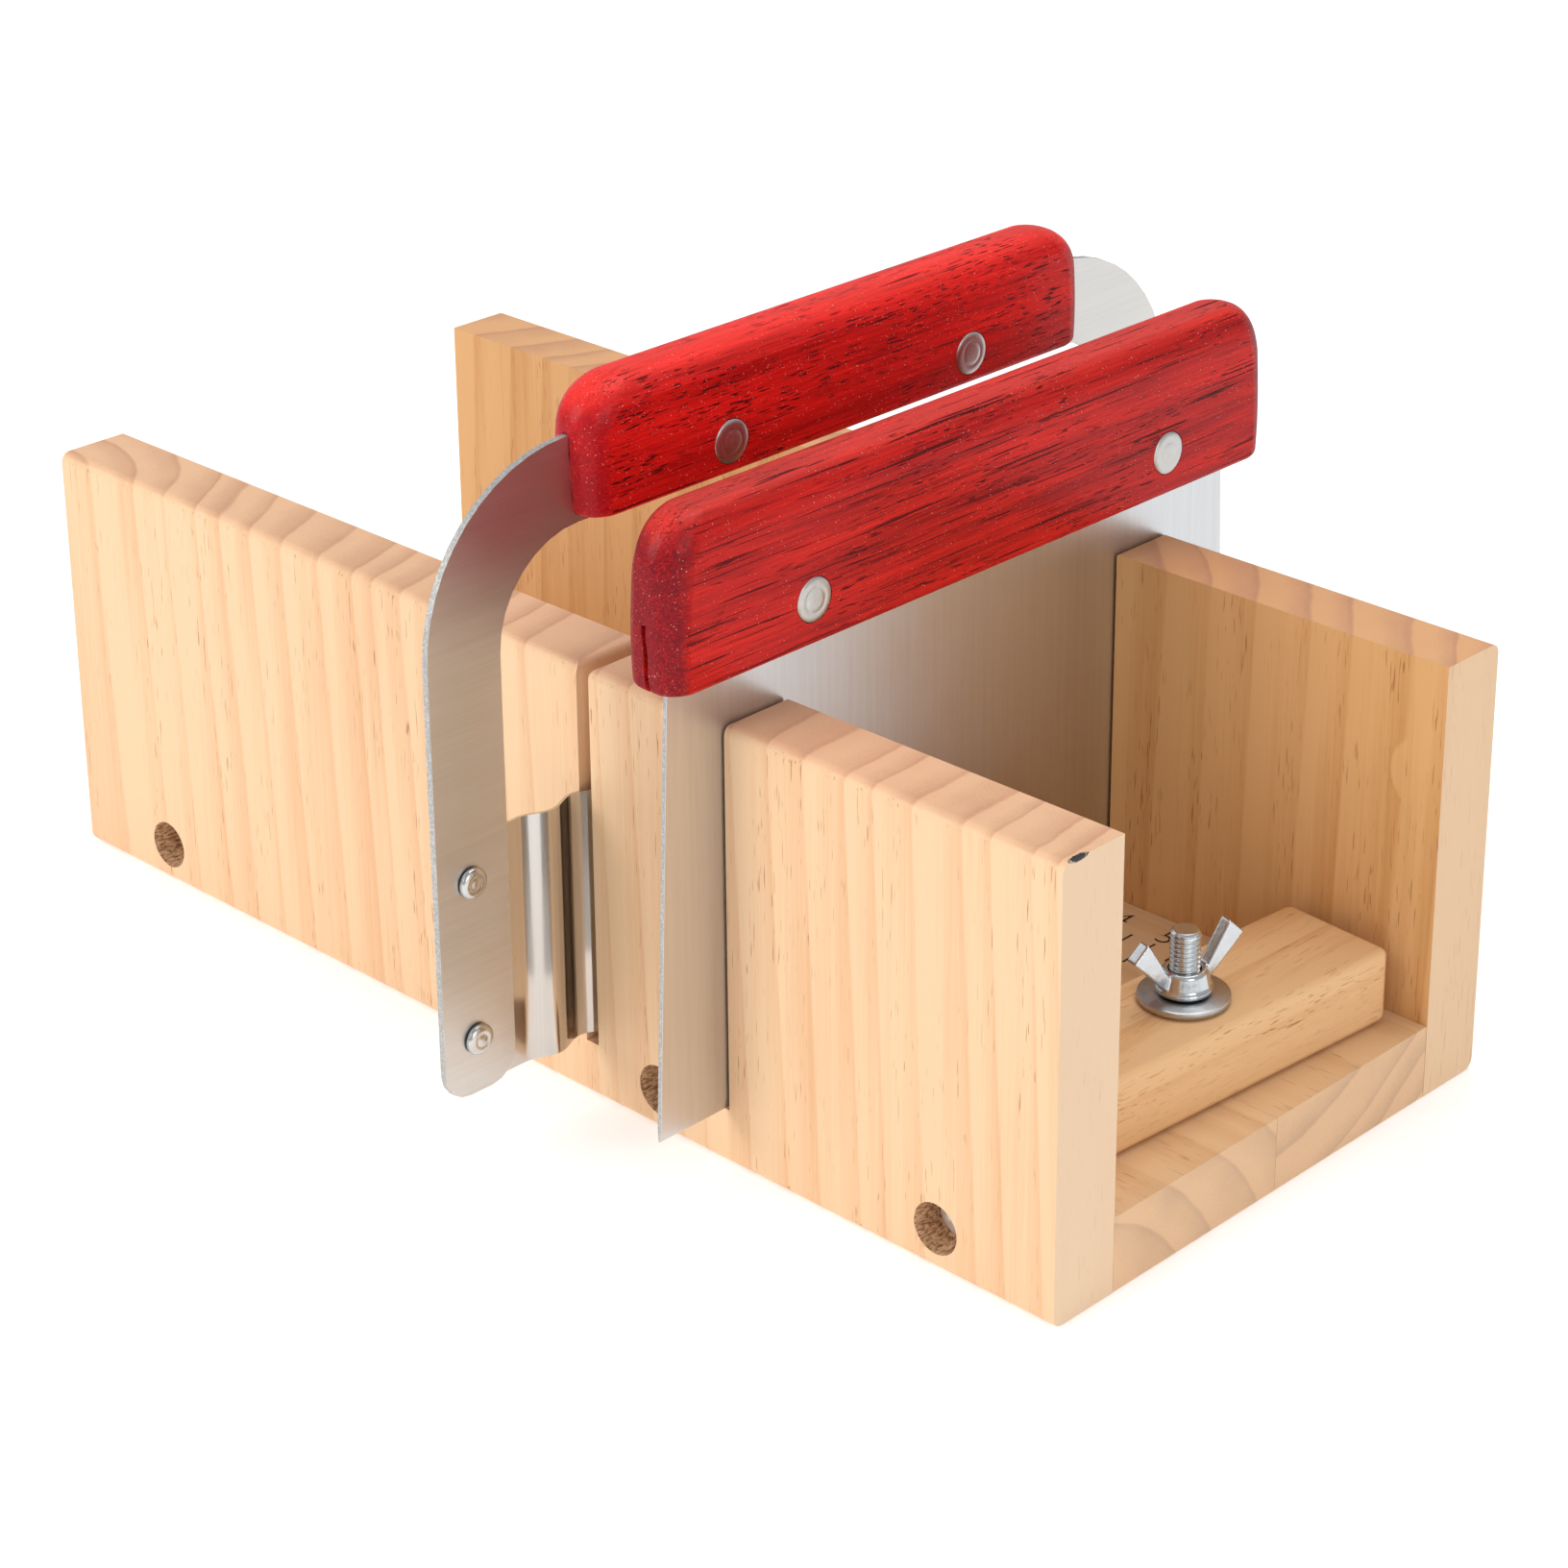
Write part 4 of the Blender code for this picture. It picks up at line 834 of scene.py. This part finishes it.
def floor_stave(side, material):
    """One stave of the floor, out to its glue lines, with the kerfs, the slot and the dome's groove."""
    node = f"floor_stave_{side}"
    low, high = (corner.copy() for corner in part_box(node))
    joint = (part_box("floor_stave_near")[1].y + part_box("floor_stave_far")[0].y) / 2
    if side == "near":
        low.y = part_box("near_side_board")[1].y + GLUE_LINE
        high.y = joint - GLUE_LINE / 2
    else:
        high.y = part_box("far_side_board")[0].y - GLUE_LINE
        low.y = joint + GLUE_LINE / 2
    cutters = [kerf_cutter(kerf, FLOOR_MOUTH, high.z, 60 * MM) for kerf in (WAVY_KERF, STRAIGHT_KERF)]
    start, end, slot_radius = SLOT
    for radius, top in ((slot_radius, high.z + OVERCUT), GROOVE):
        outline = arc((end, joint), radius, -90, 90, 24) + arc((start, joint), radius, 90, 270, 24)
        cutters.append(to_mesh("slot", prism_bm(outline, -OVERCUT, top, 2)))
    mesh = shaped(node, to_mesh(node, box_bm(low, high), material, 30), cutters, STAVE_EASING)
    piece(f"floor_{side}", mesh, "box", [node])


def digit(text, x):
    """A ruler number, centred over its mark, as a thin skin on the floor."""
    curve = bpy.data.curves.new("digit", "FONT")
    curve.body = text
    curve.size = DIGIT_HEIGHT * FONT_SIZE
    curve.align_x = "CENTER"
    curve.offset = -DIGIT_THINNING
    curve.extrude = BURNT_SKIN / 2
    mesh = evaluated(new_object("digit", curve))
    mesh.transform(Matrix.Translation((x, DIGIT_BASE_Y, FLOOR_TOP + BURNT_LIFT)))
    return mesh


def ruler():
    """Centimetre marks and numbers, burnt into the floor's far stave."""
    marks = tick_tree().make("marks", Count=RULER_TICKS, Step=RULER_STEP, Short=HALF_TICK, Long=WHOLE_TICK,
                             Line=BURNT_LINE, Skin=BURNT_SKIN, Material=BURNT)
    marks.transform(Matrix.Translation((RULER_ZERO + RULER_STEP, RULER_EDGE_Y, FLOOR_TOP + BURNT_LIFT)))
    digits = [digit(str(number), RULER_ZERO + 2 * RULER_STEP * number)
              for number in range(1, RULER_TICKS // 2 + 1)]
    item = new_object("ruler", to_mesh("ruler", joined([], [marks, *digits]), BURNT))
    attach(item, "box")


def screw_mesh():
    """A wood screw with a cross recess; it points down its own Z."""
    profile = [(radius * MM, z * MM) for radius, z in SCREW_PROFILE]
    body = to_mesh("screw", turned_bm(profile, 40), SCREW_STEEL, 30)
    length, width, deep = RECESS
    slots = []
    for turn in (RECESS_TURN, RECESS_TURN + math.pi / 2):
        bm = box_bm((-length, -width, -deep), (length, width, OVERCUT))
        for vert in bm.verts:
            if vert.co.z < 0:
                vert.co.x *= 0.5
                vert.co.y *= 0.5
        bm.transform(Matrix.Rotation(turn, 4, "Z"))
        slots.append(to_mesh("slot", bm))
    return shaped("screw", body, slots, RECESS_EASING)


def side_screws():
    """Three screws a side, copied onto their heads' places."""
    screw = screw_mesh()
    for side in SIDES:
        turn = outward(side)
        nodes = screw_nodes(side)
        spots = [turn.inverted() @ head_spot(node, side) for node in nodes]
        mesh = copied("screws", screw, spots, SCREW_STEEL)
        mesh.transform(turn)
        piece(f"{side}_screws", shaded(mesh, 35), "box", nodes)


# Cutters

def eased(share, crease):
    """How far in a rounding is at a share of its height, as a share of its depth.

    It follows a circle from the angle crease up to its top, so crease says how sharply the rounding
    leaves the flat face under it.
    """
    first = math.sin(crease)
    rise = share * (1 - first) + first
    return 1 - math.sqrt(max(1 - rise ** 2, 0.0)) / math.cos(crease)


def handle_bm(low, high, crown, nose):
    """A grip: rounded over along its top and its ends, whose upright edges open upward."""
    half_x, half_y = (high.x - low.x) / 2, (high.y - low.y) / 2
    height = high.z - low.z
    centre = (low + high) / 2
    nose_z, crown_z = height - nose[0], height - crown[0]
    foot, wall, shoulder, top, corner_steps = 5, 12, 6, 18, 16

    # Heights of the rings, and how far the foot's rounding draws each in
    levels = [(HANDLE_FOOT * (1 - math.cos(t)), HANDLE_FOOT * (1 - math.sin(t)))
              for t in (math.pi / 2 * i / foot for i in range(foot))]
    levels += [(HANDLE_FOOT + (nose_z - HANDLE_FOOT) * i / wall, 0.0) for i in range(wall)]
    levels += [(nose_z + (crown_z - nose_z) * i / shoulder, 0.0) for i in range(shoulder)]
    levels += [(crown_z + crown[0] * math.sin(math.pi / 2 * i / top), 0.0) for i in range(top + 1)]

    bm = bmesh.new()
    rings = []
    shares = [math.sin(math.pi / 2 * i / corner_steps) for i in range(corner_steps + 1)]
    for z, inset in levels:
        crown_share = min(max((z - crown_z) / crown[0], 0.0), 1.0)
        nose_share = min(max((z - nose_z) / nose[0], 0.0), 1.0)
        x = half_x - inset - crown[1] * eased(crown_share, CREASE)
        y = half_y - inset - nose[1] * eased(nose_share, 0.0)
        y -= HANDLE_TAPER[0] * max(1 - z / HANDLE_TAPER[1], 0.0) ** 2
        corner = HANDLE_CORNER[0] + (HANDLE_CORNER[1] - HANDLE_CORNER[0]) * min(z / crown_z, 1.0) ** 1.5
        corner = min(corner, x * 0.96, y * 0.96)      # the ring's flat sides never quite vanish
        quarter = [(x - corner * eased(share, CREASE), y - corner + corner * share) for share in shares]
        ring = quarter + [(-u, v) for u, v in reversed(quarter)]
        ring += [(-u, -v) for u, v in ring]
        rings.append([bm.verts.new((u + centre.x, v + centre.y, z + low.z)) for u, v in ring])
    for lower, upper in zip(rings, rings[1:]):
        for i in range(len(lower)):
            j = (i + 1) % len(lower)
            bm.faces.new((lower[i], lower[j], upper[j], upper[i]))
    bm.faces.new(list(reversed(rings[0])))
    bm.faces.new(rings[-1])
    bmesh.ops.recalc_face_normals(bm, faces=bm.faces)
    return bm


def slit_cutter(x, half, low_z, high_z):
    """The saw slit that holds a blade: a thin slab whose faces waver a little near the grip's ends."""
    reach = 100 * MM
    bm = box_bm((x - half, -reach, low_z), (x + half, reach, high_z))
    uprights = [edge for edge in bm.edges if abs(edge.verts[0].co.z - edge.verts[1].co.z) > 5 * MM]
    bmesh.ops.subdivide_edges(bm, edges=uprights, cuts=9)
    waver, turn = SLIT_WAVER
    for vert in bm.verts:
        vert.co.x += waver * math.sin(vert.co.z / MM * turn + math.copysign(1.0, vert.co.y))
    return to_mesh("slit", bm)


def rivet_nodes(prefix):
    """The CAD nodes of one handle's rivets."""
    return [f"{prefix}_rivet_{side}" for side in SIDES]


def grip(prefix, crown, nose, material, slit_half, sheet_node):
    """A handle with the saw slit of its sheet and its rivet seats."""
    node = f"{prefix}_handle"
    low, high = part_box(node)
    slit_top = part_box(sheet_node)[1].z + SLIT_ROOM
    cutters = [slit_cutter(middle(node).x, slit_half, low.z - OVERCUT, slit_top)]
    seat, reach = HANDLE_RIVET / 2 + HANDLE_RIVET_GAP, 12 * MM
    for rivet in rivet_nodes(prefix):
        turn = Matrix.Translation(middle(rivet)) @ Matrix.Rotation(math.pi / 2, 4, "Y")
        profile = [(0.0, reach), (seat, reach), (seat, -reach), (0.0, -reach)]
        cutters.append(to_mesh("seat", turned_bm(profile, 64, turn)))
    bm = handle_bm(low, high, crown, nose)
    mesh = shaped(node, to_mesh(node, bm, material, 9), cutters, CUT_EASING, 50.0)
    piece(f"{prefix}_grip", mesh, f"{prefix}_cutter", [node])


def rivet_mesh(head, tail, steps, material):
    """A rivet along X, with a turned ring mark on both heads; tail is how wide the second one is."""
    turn = Matrix.Rotation(math.pi / 2, 4, "Y")
    profile = head + [(radius * tail, -z) for radius, z in reversed(head)]
    return to_mesh("rivet", turned_bm(profile, steps, turn), material, 60)


def half_length(node):
    """Half the length of a rivet, from its middle to the top of its head."""
    low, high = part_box(node)
    return (high.x - low.x) / 2


def handle_rivets(prefix):
    """Both rivets of a grip: low domes on both of its faces."""
    nodes = rivet_nodes(prefix)
    head = [(share * HANDLE_RIVET / 2, half_length(nodes[0]) + z * MM) for share, z in HANDLE_RIVET_HEAD]
    rivet = rivet_mesh(head, 1.0, 56, RIVET_METAL)
    mesh = copied("rivets", rivet, [middle(node) for node in nodes], RIVET_METAL)
    piece(f"{prefix}_rivets", mesh, f"{prefix}_cutter", nodes)


def arm_rivets():
    """The four rivets that hold the wavy blade to the bow's arms: proud heads."""
    nodes = [f"blade_rivet_{side}_{level}" for side in SIDES for level in ("low", "high")]
    head = [(radius * MM, half_length(nodes[0]) + z * MM) for radius, z in ARM_RIVET_HEAD]
    rivet = rivet_mesh(head, ARM_RIVET_TAIL, 40, ARM_RIVET_METAL)
    mesh = copied("rivets", rivet, [middle(node) for node in nodes], ARM_RIVET_METAL)
    piece("arm_rivets", mesh, "wavy_cutter", nodes)


def wavy_sheet():
    """The corrugated blade, made by its rule and of a real thickness; it ends level with the bow's arms."""
    low, high = (corner.copy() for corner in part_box("wavy_blade"))
    arm_low, arm_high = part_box("wavy_bow")
    low.z = arm_low.z

    def thicken(item):
        sheet = item.modifiers.new("sheet", "SOLIDIFY")
        sheet.thickness = SHEET
        sheet.offset = 0.0

    mesh = wave_tree().make("wavy_sheet", after=thicken, Width=high.y - low.y, Height=high.z - low.z,
                            Half=WAVE_HALF, Waves=float(WAVE_COUNT), Rise=WAVE_HEIGHT,
                            Stations=WAVE_COUNT * WAVE_STATIONS + 1, Material=WAVE_STEEL)
    mesh.transform(Matrix.Translation((TROUGH_X, (low.y + high.y) / 2, (low.z + high.z) / 2)))
    for vert in mesh.vertices:
        over = abs(vert.co.y) - (arm_high.y - ARM_END_RADIUS)
        in_lower_edge = vert.co.z < low.z + 0.1 * MM
        if over > 0 and in_lower_edge:
            vert.co.z += ARM_END_RADIUS - math.sqrt(ARM_END_RADIUS ** 2 - over ** 2)
    piece("wavy_sheet", shaded(mesh, 40), "wavy_cutter", ["wavy_blade"])


def cad_piece(node, name, body, material, easing, sharp):
    """A piece with its CAD shape, and its edges eased."""
    mesh = from_cad(node)
    mesh.materials.append(material)
    piece(name, shaped(node, shaded(mesh, sharp), (), easing, sharp), body, [node])


# Clamp

def washer():
    """A punched washer, with one face's rim rolled over more than the other's."""
    low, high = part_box("stop_washer")
    centre, rim = middle("stop_washer"), (high.x - low.x) / 2
    profile = [(WASHER_HOLE, 0.15 * MM), (WASHER_HOLE + 0.15 * MM, 0.0), (rim - 0.4 * MM, 0.0),
               (rim - 0.1 * MM, 0.15 * MM), (rim, 0.45 * MM)]
    loop = [(radius, high.z - drop) for radius, drop in profile]
    loop += [(radius, low.z + drop * 0.6) for radius, drop in reversed(profile)]
    bm = turned_bm(loop, 72, Matrix.Translation((centre.x, centre.y, 0.0)), ring=True)
    piece("washer", to_mesh("washer", bm, DULL_ZINC, 40), "stop_carriage", ["stop_washer"])


def bolt():
    """The carriage bolt: dome and square neck under the floor, and a real thread above it."""
    low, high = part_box("clamp_bolt")
    centre, dome = middle("clamp_bolt"), (high.x - low.x) / 2

    # The dome is a ball's cap, with a plug that reaches up into the neck
    rise = DOME_SEAT - low.z
    ball = (dome ** 2 + rise ** 2) / (2 * rise)
    spread, steps = math.asin(dome / ball), 12
    turns = [spread * i / steps for i in reversed(range(steps + 1))]
    plug, plug_top = SHANK * 0.9, DOME_SEAT + 3 * MM
    profile = [(0.0, plug_top), (plug, plug_top), (plug, DOME_SEAT), (dome - 0.15 * MM, DOME_SEAT)]
    profile += [(ball * math.sin(turn), low.z + ball * (1 - math.cos(turn))) for turn in turns]
    head = turned_bm(profile, 64)

    # The neck and the thread are joined by a stem that reaches into both
    half, height = NECK
    neck = box_bm((-half, -half, DOME_SEAT - 0.2 * MM), (half, half, DOME_SEAT + height))
    core, foot, top = SHANK * 0.8, DOME_SEAT + MM, THREAD_BOTTOM + MM
    stem = turned_bm([(0.0, top), (core, top), (core, foot), (0.0, foot)], 32)
    length = high.z - THREAD_BOTTOM
    rod = thread_tree().make("rod", Length=length, Radius=SHANK, Depth=THREAD_DEPTH, Pitch=THREAD_PITCH,
                             Chamfer=BOLT_CHAMFER, Rings=int(length / THREAD_PITCH * THREAD_RINGS),
                             Material=ZINC)
    rod.transform(Matrix.Translation((0.0, 0.0, THREAD_BOTTOM)))
    whole = joined([head, neck, stem], [rod])

    # The thread's skin is closed at its foot, inside the stem's length
    bmesh.ops.holes_fill(whole, edges=[edge for edge in whole.edges if edge.is_boundary], sides=0)
    bmesh.ops.recalc_face_normals(whole, faces=whole.faces)
    bmesh.ops.translate(whole, vec=(centre.x, centre.y, 0.0), verts=whole.verts)
    piece("bolt", to_mesh("bolt", whole, ZINC, 45), "bolt", ["clamp_bolt"])


def wing_nut():
    """The nut's CAD shape, softened like a cold forging."""
    item = new_object("nut", from_cad("wing_nut"))
    skin = item.modifiers.new("skin", "REMESH")
    skin.mode = "VOXEL"
    skin.voxel_size = NUT_VOXEL
    skin.use_smooth_shade = True
    soft = item.modifiers.new("soft", "SMOOTH")
    soft.factor = 0.5
    soft.iterations = 6
    mesh = evaluated(item)
    mesh.materials.append(ZINC)
    piece("nut", mesh, "nut", ["wing_nut"])


# Stage

def stage():
    """A pale floor, soft lights all round and the camera."""
    bm = bmesh.new()
    bmesh.ops.create_circle(bm, cap_ends=True, radius=STUDIO_RADIUS, segments=96)
    floor = new_object("studio_floor", to_mesh("studio_floor", bm, studio_paper("studio paper")))
    floor.location.z = -STUDIO_DROP
    world = bpy.data.worlds.new("studio")
    bpy.context.scene.world = world
    world.use_nodes = True
    sky = world.node_tree.nodes["Background"].inputs
    sky["Color"].default_value = (1.0, 1.0, 1.0, 1.0)
    sky["Strength"].default_value = SKY_STRENGTH
    for name, place, size, power in LAMPS:
        light = bpy.data.lights.new(name, "AREA")
        light.shape = "SQUARE"
        light.size = size
        light.energy = power
        lamp = new_object(name, light)
        lamp.location = place
        lamp.rotation_euler = (LAMP_TARGET - Vector(place)).to_track_quat("-Z", "Y").to_euler()
    camera = bpy.data.cameras.new("camera")
    camera.sensor_width = SENSOR_WIDTH
    camera.lens = CAMERA_LENS
    camera.shift_x, camera.shift_y = CAMERA_SHIFT
    viewer = new_object("camera", camera)
    viewer.location = CAMERA_PLACE
    viewer.rotation_euler = (math.radians(90 - CAMERA_ELEVATION), 0.0, math.radians(CAMERA_AZIMUTH))
    bpy.context.scene.camera = viewer
    bpy.context.scene.view_settings.view_transform = "Standard"


side_board("near", PINE_NEAR)
side_board("far", PINE_FAR)
floor_stave("near", PINE_STAVE_NEAR)
floor_stave("far", PINE_STAVE_FAR)
ruler()
side_screws()
grip("straight", STRAIGHT_CROWN, STRAIGHT_NOSE, RED_STRAIGHT, STRAIGHT_SLIT, "straight_blade")
grip("wavy", WAVY_CROWN, WAVY_NOSE, RED_WAVY, WAVY_SLIT, "wavy_bow")
handle_rivets("straight")
handle_rivets("wavy")
cad_piece("straight_blade", "straight_sheet", "straight_cutter", BLADE_STEEL,
          BLADE_EASING, 30)
cad_piece("wavy_bow", "bow", "wavy_cutter", BOW_STEEL, BOW_EASING, 30)
wavy_sheet()
arm_rivets()
cad_piece("stop_block", "stop", "stop", STOP_WOOD, STOP_EASING, 50)
washer()
bolt()
wing_nut()
stage()
